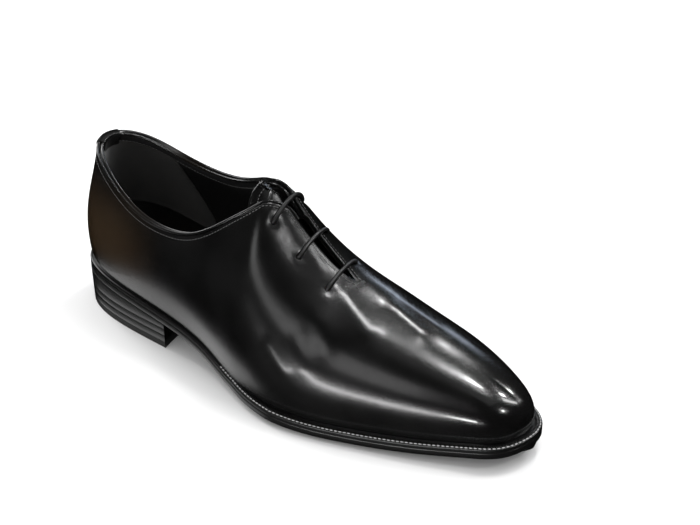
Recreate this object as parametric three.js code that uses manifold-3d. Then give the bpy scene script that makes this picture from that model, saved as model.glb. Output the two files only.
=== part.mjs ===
// A right-foot leather oxford shoe of one-piece (wholecut) pattern with a welted sole.
// Millimetres. +X points to the toe, +Y to the inner (medial) side, +Z up, ground at z = 0.
import * as THREE from 'three';
import { mergeVertices } from 'three/addons/utils/BufferGeometryUtils.js';
import Module from 'manifold-3d';

const wasm = await Module();
wasm.setup();

// ---------- driving dimensions ----------
const LENGTH = 297.4;             // feather line, heel back to toe tip
const LAST_X = 2.4;               // feather line's heel back, measured from the heel's outer edge
const WIDTH_SCALE = 1;            // 1 is the standard fitting
const HEIGHT_SCALE = 1;           // height of the last above its seat
const CLEARANCE = 0.3;            // gap between pieces that touch
const UPPER_THICKNESS = 1.3;
const STIFFENER_THICKNESS = 0.9;
const LINING_THICKNESS = 0.8;
const GRIP_THICKNESS = 0.7;
const LASTING_MARGIN = 9;         // upper turned in under the insole
const WELT_THICKNESS = 2.4;
const OUTSOLE_THICKNESS = 3.8;
const INSOLE_THICKNESS = 2.6;
const SOCK_THICKNESS = 1;
const WELT_FOREFOOT = 5.3;        // how far the welt stands out past the feather line
const WELT_WAIST = 1.5;
const WELT_HEEL = 1.8;
const WELT_INSIDE = 7;            // how far it reaches under the upper
const HEEL_BREAST_X = 78;
const HEEL_TAPER = 0.8;           // the heel's sides lean in by this at the ground
const TOP_LIFT_THICKNESS = 4;
const LIFT_THICKNESS = 4.4;
const LIFTS = 2;
const EYELET_OFFSET = 17;         // from the ridge to a hole
const EYELET_X = [144, 161, 180];
const LACE_DIAMETER = 2.4;
const HOLE_DIAMETER = 4.4;
const EYELET_WALL = 0.7;
const EYELET_SINK = 0.3;          // the eyelet lies this far below the stay's face
const TONGUE_THICKNESS = 1.2;
const TONGUE_LINING_THICKNESS = 0.8;
const TONGUE_BASE_X = 197;
const TONGUE_TOP_X = 129;
const TONGUE_HALF_WIDTH = 19.5;
const BINDING_HEIGHT = 2;
const NAIL_DIAMETER = 2.2;
const NAIL_LENGTH = 7;

// Depths of the layers below the outside of the upper.
const STIFFENER_DEPTH = UPPER_THICKNESS + CLEARANCE;
const LINING_DEPTH = STIFFENER_DEPTH + STIFFENER_THICKNESS + CLEARANCE;
const GRIP_DEPTH = LINING_DEPTH + LINING_THICKNESS + CLEARANCE;
const LACE_DEPTH = GRIP_DEPTH + LACE_DIAMETER / 2;
const TONGUE_DEPTH = LACE_DEPTH + LACE_DIAMETER / 2 + 2 * CLEARANCE;
const TONGUE_LINING_DEPTH = TONGUE_DEPTH + TONGUE_THICKNESS + CLEARANCE;

// ---------- curves ----------
// A natural cubic spline through the points, held at its ends outside them.
function spline(points) {
  const xs = points.map(p => p[0]);
  const ys = points.map(p => p[1]);
  const n = xs.length;
  const h = xs.slice(1).map((x, i) => x - xs[i]);
  const slope = new Array(n).fill(0);
  const diag = new Array(n).fill(1);
  const upper = new Array(n).fill(0);
  for (let i = 1; i < n - 1; i++) {
    const rise = 6 * ((ys[i + 1] - ys[i]) / h[i] - (ys[i] - ys[i - 1]) / h[i - 1]);
    diag[i] = 2 * (h[i - 1] + h[i]) - h[i - 1] * upper[i - 1];
    upper[i] = h[i] / diag[i];
    slope[i] = (rise - h[i - 1] * slope[i - 1]) / diag[i];
  }
  for (let i = n - 2; i > 0; i--) slope[i] -= upper[i] * slope[i + 1];
  slope[n - 1] = 0;
  return q => {
    const x = Math.min(Math.max(q, xs[0]), xs[n - 1]);
    let i = 0;
    while (i < n - 2 && x > xs[i + 1]) i++;
    const d = x - xs[i];
    const e = xs[i + 1] - x;
    return (slope[i] * e ** 3 + slope[i + 1] * d ** 3) / (6 * h[i])
      + (ys[i] / h[i] - slope[i] * h[i] / 6) * e + (ys[i + 1] / h[i] - slope[i + 1] * h[i] / 6) * d;
  };
}

// Straight runs between the points.
function polyline(points) {
  return q => {
    let i = 0;
    while (i < points.length - 2 && q > points[i + 1][0]) i++;
    const [x0, y0] = points[i];
    const [x1, y1] = points[i + 1];
    const share = Math.min(Math.max((q - x0) / (x1 - x0), 0), 1);
    return y0 + (y1 - y0) * share;
  };
}

const STANDARD_LENGTH = 297.4;    // the length that the curves below are drawn for
const STRETCH = LENGTH / STANDARD_LENGTH;
const alongLast = points => points.map(([x, v]) => [LAST_X + (x - LAST_X) * STRETCH, v]);
const atX = x => LAST_X + (x - LAST_X) * STRETCH;

// The feather line, where upper meets sole: clockwise seen from above, from the heel's back
// along the outer side to the toe and back along the inner side.
const FEATHER = [
  [2.4, 0], [9.5, -18.8], [34, -30], [72, -34.2], [110, -39], [146, -50.5], [183, -51.5],
  [216, -43.5], [250, -32.5], [277, -21.8], [293.5, -12.8], [299.8, 3.2], [295, 16],
  [277.5, 27.5], [250, 38.5], [219, 43.5], [186, 43], [146, 31], [110, 25], [72, 27],
  [34, 27.5], [9.5, 18],
].map(([x, y]) => [atX(x), y * WIDTH_SCALE]);
const TOE_INDEX = 11;
const WRAP = 5;                   // points repeated past each end so that the spline closes
const around = axis => {
  const points = [];
  for (let i = -WRAP; i <= FEATHER.length + WRAP; i++) {
    points.push([i, FEATHER[(i + FEATHER.length) % FEATHER.length][axis]]);
  }
  return spline(points);
};
const featherX = around(0);
const featherY = around(1);

// Height of the sole's top edge, of the last's ridge, and the ridge's sideways place.
const seat = spline(alongLast([
  [-8, 30.2], [30, 28.4], [67, 24.9], [98, 19.9], [128, 13.9], [159, 10], [189, 8.9],
  [226, 9.7], [265, 12.6], [305, 16.7], [322, 18.2],
]));
const ridge = spline(alongLast([
  [108, 134], [120, 127], [134, 116.5], [146, 103], [161, 87.3], [171, 79], [183, 71.3],
  [197, 65.2], [214, 59.5], [234, 54], [256, 48.3], [272, 43.5], [284, 38.6], [297, 30],
].map(([x, z]) => [x, z * HEIGHT_SCALE])));
const ridgeY = spline(alongLast([
  [108, 0.5], [146, 2.5], [183, 3], [226, 2.5], [270, 3.2], [305, 3.2],
]));
const CROWN_Z = 118 * HEIGHT_SCALE;  // the open top of the last, above the topline
const CROWN_HALF_WIDTH = 26 * WIDTH_SCALE;
const CROWN_CENTRE = atX(58);
const CROWN_BACK = 48 * STRETCH;
const CROWN_FRONT = 64 * STRETCH;
const RIDGE_START = atX(108);
const RING_END = atX(122);
const SWAY = [atX(60), atX(110)];    // the ridge's sideways place fades in between these

// The ridge's outward direction in the upright plane along the shoe.
function ridgeNormal(x) {
  const slope = (ridge(x + 1) - ridge(x - 1)) / 2;
  return new THREE.Vector3(-slope, 0, 1).normalize();
}

// Where each cross-section ends on the ridge, by its share of the way from heel to toe.
const crownX = spline([
  [0, 10.5], [0.06, 16], [0.13, 30], [0.22, 57], [0.30, 83], [0.38, 109], [0.48, 140],
  [0.58, 171], [0.68, 201], [0.78, 231], [0.86, 253], [0.92, 267], [0.96, 274], [1, 279],
].map(([q, x]) => [q, atX(x)]));

// The topline on each side (-1 outer, 1 inner), and half the width of the lacing slit.
const TOPLINE = {
  [-1]: spline(alongLast([
    [6, 102.5], [24, 96.5], [44, 87.5], [60, 81.5], [79, 79], [96, 81.2], [109, 88],
    [121.5, 97.5], [132, 105.5], [142, 113],
  ].map(([x, z]) => [x, z * HEIGHT_SCALE]))),
  1: spline(alongLast([
    [6, 102.5], [24, 96], [44, 88], [60, 85], [72, 85], [84, 86.8], [101, 93.2],
    [118, 103], [132, 111], [142, 118],
  ].map(([x, z]) => [x, z * HEIGHT_SCALE]))),
};
const slitHalf = polyline(alongLast([
  [131, 14], [136, 14], [140.5, 10], [143.5, 7], [146, 4.8], [160, 4],
  [174, 3.2], [182, 2], [187, 0.4],
]));
const SLIT_START = atX(131);
const SLIT_END = atX(187);
const TOPLINE_END = atX(145);

// ---------- the last's surface ----------
const SAMPLES = 600;
function outlineHalf(side) {
  const from = side < 0 ? 0 : FEATHER.length;
  const table = [[0, from]];
  let length = 0;
  let last = [featherX(from), featherY(from)];
  for (let i = 1; i <= SAMPLES; i++) {
    const u = from + (TOE_INDEX - from) * i / SAMPLES;
    const p = [featherX(u), featherY(u)];
    length += Math.hypot(p[0] - last[0], p[1] - last[1]);
    table.push([length, u]);
    last = p;
  }
  return polyline(table.map(([s, u]) => [s / length, u]));
}
const HALF = { [-1]: outlineHalf(-1), 1: outlineHalf(1) };

// A point of the feather line and its outward direction.
function foot(side, q) {
  const u = HALF[side](q);
  const step = 0.02;
  const dx = featherX(u + step) - featherX(u - step);
  const dy = featherY(u + step) - featherY(u - step);
  const run = Math.hypot(dx, dy);
  return { x: featherX(u), y: featherY(u), nx: dy / run, ny: -dx / run };
}

const lean = polyline(alongLast([
  [0, 6.2], [46, 7.4], [107, 9.9], [183, 8.1], [244, 6.2], [290, 4.3], [305, 3.7],
]));
const lowerHandle = polyline(alongLast([[30, 0.45], [122, 0.468], [213, 0.54], [290, 0.63]]));
const upperHandle = polyline(alongLast([[30, 0.35], [122, 0.55], [213, 0.62], [290, 0.66]]));
const VAMP_BLEND = [atX(92), atX(140)];
const QUARTER_REACH = 0.3;        // the quarter's upper handle, as shares of width and height
const QUARTER_DROP = 0.42;

// One cross-section of the last, from the feather line (t = 0) to the ridge (t = 1).
function section(side, q) {
  const f = foot(side, q);
  const zF = seat(f.x);
  const x = crownX(q);
  const reach = x < CROWN_CENTRE ? CROWN_BACK : CROWN_FRONT;
  const round = Math.max(1 - ((x - CROWN_CENTRE) / reach) ** 2, 0);
  const half = x < RING_END ? CROWN_HALF_WIDTH * Math.sqrt(round) : 0;
  const fade = THREE.MathUtils.clamp((x - SWAY[0]) / (SWAY[1] - SWAY[0]), 0, 1);
  const top = new THREE.Vector3(x, side * half + ridgeY(x) * fade,
    x > RIDGE_START ? Math.min(ridge(x), CROWN_Z) : CROWN_Z);
  const base = new THREE.Vector3(f.x, f.y, zF);
  const height = top.z - zF;
  const slope = (ridge(x + 1) - ridge(x - 1)) / 2;
  const out = lean(f.x);
  const low = new THREE.Vector3(f.x + f.nx * out, f.y + f.ny * out, zF + lowerHandle(f.x) * height);
  const a = upperHandle(f.x);
  const toX = f.x - x;
  const toY = f.y - top.y;
  const vamp = new THREE.Vector3(x + a * toX, top.y + a * toY, top.z + a * toX * slope);
  const quarter = new THREE.Vector3(
    x + QUARTER_REACH * toX, top.y + QUARTER_REACH * toY, top.z - QUARTER_DROP * height);
  const blend = THREE.MathUtils.smoothstep(x, VAMP_BLEND[0], VAMP_BLEND[1]);
  const high = quarter.lerp(vamp, blend);
  return new THREE.CubicBezierCurve3(base, low, high, top);
}

// How far past the topline or the slit's edge a point is (positive: cut away).
function past(side, p) {
  const overTop = p.x < TOPLINE_END ? p.z - TOPLINE[side](p.x) : -1;
  const inRange = p.x > SLIT_START && p.x < SLIT_END;
  const inSlit = inRange ? slitHalf(p.x) - Math.abs(p.y - ridgeY(p.x)) : -1;
  return Math.max(overTop, inSlit);
}

// The share of a cross-section at which the leather ends.
const SEARCH_STEPS = 300;
const SEARCH_FROM = 105;          // the lower third of a wall is never cut away
const HALVINGS = 40;
function sectionEnd(side, curve) {
  let k = SEARCH_FROM;
  while (k <= SEARCH_STEPS && past(side, curve.getPoint(k / SEARCH_STEPS)) < 0) k++;
  if (k > SEARCH_STEPS) return 1;
  let low = (k - 1) / SEARCH_STEPS;
  let high = k / SEARCH_STEPS;
  for (let i = 0; i < HALVINGS; i++) {
    const middle = (low + high) / 2;
    if (past(side, curve.getPoint(middle)) < 0) low = middle;
    else high = middle;
  }
  return low;
}

function inverse(curve, value) {
  let low = 0;
  let high = 1;
  for (let i = 0; i < HALVINGS; i++) {
    const middle = (low + high) / 2;
    if (curve(middle) < value) low = middle;
    else high = middle;
  }
  return (low + high) / 2;
}

// ---------- the base grid: columns round the shoe, rows up the wall ----------
const STATIONS = [
  10.5, 13, 18, 25, 34, 45, 57, 70, 83, 96, 107, 116, 123, 129, 133.5, 137.5, 141, 144, 147.5,
  153, 159, 166, 173, 180, 187.5, 194, 202, 212, 223, 234, 244, 253, 261, 268, 274, 279,
].map(atX);
const N = STATIONS.length - 1;
const COLUMNS = 2 * N;            // column 0 is the heel's back, column N the toe
const ROWS = 8;
const q0 = STATIONS.map(x => inverse(crownX, x));
q0[0] = 0;
q0[N] = 1;
const mod = (k, n) => ((k % n) + n) % n;
const sideOf = k => (k <= N ? -1 : 1);
const stationOf = k => (k <= N ? k : COLUMNS - k);

const columns = [];
for (let k = 0; k < COLUMNS; k++) {
  const side = sideOf(k);
  const q = q0[stationOf(k)];
  const curve = section(side, q);
  const end = sectionEnd(side, curve);
  const points = [];
  for (let r = 0; r <= ROWS; r++) points.push(curve.getPoint(end * r / ROWS));
  columns.push({ end, points, foot: foot(side, q), ridgeNormal: ridgeNormal(crownX(q)) });
}

// Outward directions at the grid's points, from the faces that meet there.
function gridNormals() {
  const keyOf = p => [p.x, p.y, p.z].map(v => v.toFixed(3)).join();
  const sums = new Map();
  for (let k = 0; k < COLUMNS; k++) {
    const a = columns[k].points;
    const b = columns[mod(k + 1, COLUMNS)].points;
    for (let r = 0; r < ROWS; r++) {
      const across = b[r + 1].clone().sub(a[r]);
      const other = a[r + 1].clone().sub(b[r]);
      const face = across.cross(other);
      for (const p of [a[r], b[r], a[r + 1], b[r + 1]]) {
        if (!sums.has(keyOf(p))) sums.set(keyOf(p), new THREE.Vector3());
        sums.get(keyOf(p)).add(face);
      }
    }
  }
  for (const column of columns) {
    column.normals = column.points.map(p => sums.get(keyOf(p)).clone().normalize());
    if (column.end === 1) column.normals[ROWS] = column.ridgeNormal.clone();
  }
}
gridNormals();

// The place at a column and row, both of which may lie between the grid's, at a depth.
function at(k, r, depth) {
  const k0 = Math.floor(k);
  const r0 = Math.min(Math.floor(r), ROWS - 1);
  const corner = (i, j) => {
    const column = columns[mod(i, COLUMNS)];
    return column.points[j].clone().addScaledVector(column.normals[j], -depth);
  };
  const low = corner(k0, r0).lerp(corner(k0 + 1, r0), k - k0);
  const high = corner(k0, r0 + 1).lerp(corner(k0 + 1, r0 + 1), k - k0);
  return low.lerp(high, r - r0);
}

// ---------- solids ----------
function geometryOf(positions, faces) {
  const geometry = new THREE.BufferGeometry();
  const numbers = positions.flatMap(p => [p.x, p.y, p.z]);
  geometry.setAttribute('position', new THREE.Float32BufferAttribute(numbers, 3));
  geometry.setIndex(faces.flat());
  return geometry;
}

// Two matching skins joined along their open edges. outside and inside are grids of points.
function shell(outside, inside, closed) {
  const positions = [];
  const twins = [];
  const index = new Map();
  const ids = outside.map((line, i) => line.map((p, j) => {
    const key = [p.x, p.y, p.z].map(v => v.toFixed(3)).join();
    if (!index.has(key)) {
      index.set(key, positions.length);
      positions.push(p);
      twins.push(inside[i][j]);
    }
    return index.get(key);
  }));
  const skin = [];
  const lines = closed ? ids.length : ids.length - 1;
  for (let i = 0; i < lines; i++) {
    const a = ids[i];
    const b = ids[(i + 1) % ids.length];
    for (let j = 0; j < a.length - 1; j++) {
      skin.push([a[j], b[j], b[j + 1]], [a[j], b[j + 1], a[j + 1]]);
    }
  }
  const faces = skin.filter(([a, b, c]) => a !== b && b !== c && c !== a);
  const edges = new Set();
  for (const [a, b, c] of faces) for (const [s, e] of [[a, b], [b, c], [c, a]]) edges.add(`${s},${e}`);
  const count = positions.length;
  const all = [...faces, ...faces.map(([a, b, c]) => [a + count, c + count, b + count])];
  for (const edge of edges) {
    const [s, e] = edge.split(',').map(Number);
    if (!edges.has(`${e},${s}`)) all.push([s, s + count, e + count], [s, e + count, e]);
  }
  return geometryOf([...positions, ...twins], all);
}

const range = (from, to, step = 1) => {
  const list = [];
  for (let v = from; v <= to + 1e-9; v += step) list.push(v);
  return list;
};

// A layer of the wall: the columns and rows it covers, between two depths.
function layer(ks, rowsOf, depth, thickness, closed = false) {
  const skin = d => ks.map(k => rowsOf(k).map(r => at(k, r, d)));
  return shell(skin(depth), skin(depth + thickness), closed);
}

// Rows from the feather line to the top edge, with each end moved in by some millimetres.
function trimmed(fromBottom, fromTop, first = 1, last = ROWS - 1) {
  return k => {
    const column = columns[mod(Math.round(k), COLUMNS)];
    const low = column.points[1].z - column.points[0].z;
    const high = column.points[ROWS].distanceTo(column.points[ROWS - 1]);
    return [fromBottom / low, ...range(first, last), ROWS - (column.end === 1 ? 0 : fromTop / high)];
  };
}

function toManifold(geometry) {
  const bare = geometry.clone();
  bare.deleteAttribute('normal');
  bare.deleteAttribute('uv');
  const merged = mergeVertices(bare, 1e-4);
  return new wasm.Manifold(new wasm.Mesh({
    numProp: 3,
    vertProperties: new Float32Array(merged.attributes.position.array),
    triVerts: new Uint32Array(merged.index.array),
  }));
}

function fromManifold(solid) {
  const mesh = solid.getMesh();
  const geometry = new THREE.BufferGeometry();
  geometry.setAttribute('position', new THREE.BufferAttribute(new Float32Array(mesh.vertProperties), 3));
  geometry.setIndex(new THREE.BufferAttribute(new Uint32Array(mesh.triVerts), 1));
  return geometry;
}

function cut(geometry, tools) {
  let solid = toManifold(geometry);
  for (const tool of tools) solid = solid.subtract(toManifold(tool));
  return fromManifold(solid);
}

// Rings of points joined in turn, with flat ends.
function loft(lines) {
  const count = lines[0].length;
  const faces = [];
  for (let i = 0; i < lines.length - 1; i++) {
    for (let j = 0; j < count; j++) {
      const next = (j + 1) % count;
      const a = i * count;
      const b = a + count;
      faces.push([a + j, a + next, b + next], [a + j, b + next, b + j]);
    }
  }
  const end = (lines.length - 1) * count;
  for (let j = 1; j < count - 1; j++) {
    faces.push([0, j + 1, j], [end, end + j, end + j + 1]);
  }
  return geometryOf(lines.flat(), faces);
}

// A cylinder from one point to another.
function rod(from, to, radius, sides = 12) {
  const geometry = new THREE.CylinderGeometry(radius, radius, from.distanceTo(to), sides);
  const direction = to.clone().sub(from).normalize();
  geometry.applyQuaternion(new THREE.Quaternion().setFromUnitVectors(new THREE.Vector3(0, 1, 0), direction));
  geometry.translate(...from.clone().add(to).multiplyScalar(0.5).toArray());
  return geometry;
}

function tube(points, radius, steps, sides = 8) {
  const profile = new THREE.Shape();
  for (let i = 0; i < sides; i++) {
    const a = i * 2 * Math.PI / sides;
    if (i === 0) profile.moveTo(radius, 0);
    else profile.lineTo(radius * Math.cos(a), radius * Math.sin(a));
  }
  profile.closePath();
  const path = new THREE.CatmullRomCurve3(points, false, 'centripetal');
  return new THREE.ExtrudeGeometry(profile, { steps, extrudePath: path, bevelEnabled: false });
}

const group = new THREE.Group();
function add(name, geometry, color, roughness = 0.5, metalness = 0) {
  const mesh = new THREE.Mesh(geometry, new THREE.MeshStandardMaterial({ color, roughness, metalness }));
  mesh.name = name;
  group.add(mesh);
}

const BLACK_CALF = 0x121214;
const LINING_BLACK = 0x1b1a1a;
const SUEDE = 0x24211f;
const SOLE_BLACK = 0x16161a;
const CORK = 0xb08a5a;
const TAN = 0xb58b62;
const STEEL = 0x9aa0a6;
const RUBBER = 0x101012;
const BRASS = 0x9c8348;
const COTTON_BLACK = 0x131314;
const FILM_BLACK = 0x0f0f11;

// ---------- lacing places ----------
// The place where x and the distance from the ridge are those asked for, found on a patch of
// the surface by closing in on it. surface(u, v) gives a point.
const PASSES = 8;
const TRIES = 6;                  // to each side of the best place so far
const CLOSING = 3;                // each pass looks in a patch this many times smaller
const NORMAL_STEPS = 200;
function placeOn(surface, x, offset, [u0, u1], [v0, v1]) {
  let best = { miss: Infinity, u: (u0 + u1) / 2, v: (v0 + v1) / 2 };
  let span = 0.5 / TRIES;
  for (let pass = 0; pass < PASSES; pass++) {
    const { u: uc, v: vc } = best;
    for (let i = -TRIES; i <= TRIES; i++) {
      for (let j = -TRIES; j <= TRIES; j++) {
        const u = THREE.MathUtils.clamp(uc + span * (u1 - u0) * i, u0, u1);
        const v = THREE.MathUtils.clamp(vc + span * (v1 - v0) * j, v0, v1);
        const point = surface(u, v);
        const miss = Math.hypot(point.x - x, point.y - ridgeY(x) - offset);
        if (miss < best.miss) best = { miss, u, v, point };
      }
    }
    span /= CLOSING;
  }
  const du = (u1 - u0) / NORMAL_STEPS;
  const dv = (v1 - v0) / NORMAL_STEPS;
  const v2 = Math.min(best.v + dv, v1);
  const along = surface(best.u + du, best.v).sub(surface(best.u - du, best.v));
  const normal = along.cross(surface(best.u, v2).sub(surface(best.u, v2 - 2 * dv))).normalize();
  if (normal.z < 0) normal.negate();
  return { point: best.point, normal };
}
// On the last itself, under the slit too, and on the flat faces of the upper.
const LAST_PATCH = [[0.35, 0.75], [0.4, 1]];
const UPPER_PATCH = [[13, 26], [4, ROWS]];
const lastPlace = (side, x, offset) => placeOn(
  (q, t) => section(side, q).getPoint(t), x, side * offset, ...LAST_PATCH);
const upperPlace = (side, x, offset) => placeOn(
  (k, r) => at(side < 0 ? k : COLUMNS - k, r, 0), x, side * offset, ...UPPER_PATCH);
const ridgePlace = x => ({
  point: new THREE.Vector3(x, ridgeY(x), Math.min(ridge(x), CROWN_Z)), normal: ridgeNormal(x),
});
const lift = (place, height) => place.point.clone().addScaledVector(place.normal, height);

const holes = {};
for (const side of [-1, 1]) {
  holes[side] = EYELET_X.map(x => upperPlace(side, atX(x), EYELET_OFFSET));
}
const allHoles = [...holes[-1], ...holes[1]];
const DRILL = [2.5, -6];          // from above the leather to below every layer
const holeTools = diameter => allHoles.map(h => rod(lift(h, DRILL[0]), lift(h, DRILL[1]), diameter / 2));

// ---------- upper ----------
function makeUpper() {
  const margin = column => new THREE.Vector3(
    column.foot.x - column.foot.nx * LASTING_MARGIN, column.foot.y - column.foot.ny * LASTING_MARGIN, 0);
  const skin = depth => columns.map((column, k) => {
    const turned = margin(column);
    turned.z = seat(turned.x) + CLEARANCE + depth;
    const corner = at(k, 0, depth);
    corner.z += CLEARANCE + depth;
    return [turned, corner, ...range(1, ROWS).map(r => at(k, r, depth))];
  });
  return cut(shell(skin(0), skin(UPPER_THICKNESS), true), holeTools(HOLE_DIAMETER));
}
add('upper_wholecut', makeUpper(), BLACK_CALF, 0.25);

// ---------- linings and stiffeners ----------
const MARGIN_TOP = CLEARANCE + UPPER_THICKNESS + CLEARANCE;   // above the seat
const VAMP_SPLIT = 25.5;          // column where vamp lining meets the quarter linings
const SPLIT_GAP = 0.03;
const HEEL_SPLIT = 0.04;
const LINING_SHORT = 0.4;         // the lining's top edge lies this far below the upper's
const liningRows = trimmed(MARGIN_TOP, LINING_SHORT);
const liningHoles = holeTools(HOLE_DIAMETER);
const wholeColumns = (from, to) => [from, ...range(Math.ceil(from + 1e-6), Math.floor(to - 1e-6)), to];
add('lining_vamp', layer(wholeColumns(VAMP_SPLIT + SPLIT_GAP, COLUMNS - VAMP_SPLIT - SPLIT_GAP),
  liningRows, LINING_DEPTH, LINING_THICKNESS), LINING_BLACK, 0.7);
add('lining_quarter_outer', cut(layer(wholeColumns(HEEL_SPLIT, VAMP_SPLIT - SPLIT_GAP),
  liningRows, LINING_DEPTH, LINING_THICKNESS), liningHoles), LINING_BLACK, 0.7);
add('lining_quarter_inner', cut(layer(wholeColumns(COLUMNS - VAMP_SPLIT + SPLIT_GAP, COLUMNS - HEEL_SPLIT),
  liningRows, LINING_DEPTH, LINING_THICKNESS), liningHoles), LINING_BLACK, 0.7);

const COUNTER_COLUMNS = 8;
const COUNTER_ROWS = 6;
add('heel_counter', layer(range(-COUNTER_COLUMNS, COUNTER_COLUMNS), trimmed(MARGIN_TOP, 0, 1, COUNTER_ROWS),
  STIFFENER_DEPTH, STIFFENER_THICKNESS), TAN, 0.8);
const PUFF_COLUMNS = 7;
add('toe_puff', layer(range(N - PUFF_COLUMNS, N + PUFF_COLUMNS), trimmed(MARGIN_TOP, 0),
  STIFFENER_DEPTH, STIFFENER_THICKNESS), TAN, 0.8);

// Stays stiffen the two facings under the holes, and hold the blind eyelets.
const STAY_COLUMNS = [17.6, 24];
const STAY_ROWS = [6, 7, 7.85];
const stayHoles = holeTools(HOLE_DIAMETER + 2 * EYELET_WALL + 2 * CLEARANCE);
for (const [side, name] of [[-1, 'outer'], [1, 'inner']]) {
  const [from, to] = side < 0 ? STAY_COLUMNS : STAY_COLUMNS.map(k => COLUMNS - k).reverse();
  const stay = layer(wholeColumns(from, to), () => STAY_ROWS, STIFFENER_DEPTH, STIFFENER_THICKNESS);
  add(`facing_stay_${name}`, cut(stay, stayHoles), TAN, 0.8);
  holes[side].forEach((hole, i) => {
    const near = lift(hole, -STIFFENER_DEPTH - EYELET_SINK);
    const far = lift(hole, -STIFFENER_DEPTH - STIFFENER_THICKNESS);
    const bore = rod(lift(hole, 0), lift(hole, DRILL[1]), HOLE_DIAMETER / 2);
    const ring = cut(rod(near, far, HOLE_DIAMETER / 2 + EYELET_WALL), [bore]);
    add(`blind_eyelet_${name}_${i + 1}`, ring, BRASS, 0.4, 0.9);
  });
}

// Suede over the inside of the heel, wider at its foot than at the topline.
const GRIP_COLUMNS = 7;
const GRIP_ROWS = [2, 3, 4, 5, 6, 7, 7.7];
const GRIP_NARROWING = 0.36;
function makeGrip() {
  const skin = depth => range(-GRIP_COLUMNS, GRIP_COLUMNS).map(k => GRIP_ROWS.map(r => {
    const narrow = 1 - GRIP_NARROWING * (r - GRIP_ROWS[0]) / (ROWS - GRIP_ROWS[0]);
    return at(k * narrow, r, depth);
  }));
  return shell(skin(GRIP_DEPTH), skin(GRIP_DEPTH + GRIP_THICKNESS), false);
}
add('heel_grip', makeGrip(), SUEDE, 0.95);

// ---------- topline ----------
const TAB_ROWS = [6.9, 7.9];
const TAB_THICKNESS = 0.8;
const TAB_DEPTH = -CLEARANCE - TAB_THICKNESS;
add('heel_tab', layer([-1, 0, 1], () => TAB_ROWS, TAB_DEPTH, TAB_THICKNESS), BLACK_CALF, 0.3);

const FACING_COLUMN = 18;         // column at the top corner of each facing
const BINDING_SECTION = [         // depth, height above the edge
  [4.1, 2 * CLEARANCE], [4.1, 1.5], [3.1, BINDING_HEIGHT + CLEARANCE], [0.6, BINDING_HEIGHT + CLEARANCE],
  [-0.5, 1.5], [-0.5, CLEARANCE],
];
function makeBinding() {
  const lines = range(-FACING_COLUMN, FACING_COLUMN).map(k => {
    const column = columns[mod(k, COLUMNS)];
    const edge = at(k + 1, ROWS, 0).sub(at(k - 1, ROWS, 0)).normalize();
    const normal = column.normals[ROWS];
    const up = edge.clone().cross(normal).negate().normalize();
    return BINDING_SECTION.map(([depth, height]) => column.points[ROWS].clone()
      .addScaledVector(normal, -depth).addScaledVector(up, height));
  });
  return loft(lines);
}
add('topline_binding', makeBinding(), BLACK_CALF, 0.35);

// ---------- tongue ----------
const TONGUE_STATIONS = [0, 0.04, 0.1, 0.2, 0.35, 0.5, 0.65, 0.8, 0.9, 1];  // shares, top to base
const TONGUE_ROUND = 0.2;         // share of its length over which the top edge rounds
const TONGUE_TIP = 0.45;          // half width at the very top, as a share
const TONGUE_RISE = [0.72, 0.97]; // between these shares it comes up to the lining
const TONGUE_ACROSS = range(-4, 4).map(i => i / 4);
function tongueSkin(depth, narrower, shorter) {
  return TONGUE_STATIONS.map(share => {
    const from = atX(TONGUE_TOP_X + shorter);
    const x = from + (atX(TONGUE_BASE_X) - shorter - from) * share;
    const round = Math.min(share / TONGUE_ROUND, 1);
    const arc = TONGUE_TIP + (1 - TONGUE_TIP) * Math.sqrt(1 - (1 - round) ** 2);
    const half = (TONGUE_HALF_WIDTH - narrower) * arc;
    const rise = THREE.MathUtils.smoothstep(share, ...TONGUE_RISE) * (TONGUE_DEPTH - GRIP_DEPTH);
    return TONGUE_ACROSS.map(v => {
      const place = v === 0 ? ridgePlace(x) : lastPlace(Math.sign(v), x, Math.abs(v) * half);
      return lift(place, rise - depth);
    });
  });
}
const tongueShell = (depth, thickness, narrower, shorter) => shell(
  tongueSkin(depth, narrower, shorter), tongueSkin(depth + thickness, narrower, shorter), false);
add('tongue', tongueShell(TONGUE_DEPTH, TONGUE_THICKNESS, 0, 0), BLACK_CALF, 0.3);
add('tongue_lining', tongueShell(TONGUE_LINING_DEPTH, TONGUE_LINING_THICKNESS, 1, 1), LINING_BLACK, 0.7);

// ---------- lace ----------
const FACET_ROOM = 0.25;          // the upper's flat faces stand this far off its true curve
const LACE_HEIGHT = LACE_DIAMETER / 2 + CLEARANCE + FACET_ROOM;   // centre over the leather
const BAR_ARCH = [                // distance in from the hole, height over LACE_HEIGHT
  [1.4, 0], [5, 0.3], [9.5, 0.8],
];
const IN_HOLE = 0.6;              // depth at which the cord's centre passes the hole's mouth
function bar(row, fromSide) {
  const x = atX(EYELET_X[row]);
  const half = side => [
    lift(holes[side][row], -LACE_DEPTH + 1),
    lift(holes[side][row], -IN_HOLE),
    ...BAR_ARCH.map(([inward, arch]) => lift(
      upperPlace(side, x, EYELET_OFFSET - inward), LACE_HEIGHT + arch)),
  ];
  return [...half(fromSide), ...half(-fromSide).reverse()];
}
const under = (side, x, offset) => lift(upperPlace(side, atX(x), offset), -LACE_DEPTH);
const [TOP_ROW, MIDDLE_ROW, BOTTOM_ROW] = [0, 1, 2];
const PASS_BY = -4;               // the long hidden run passes the middle hole nearer the ridge
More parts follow.
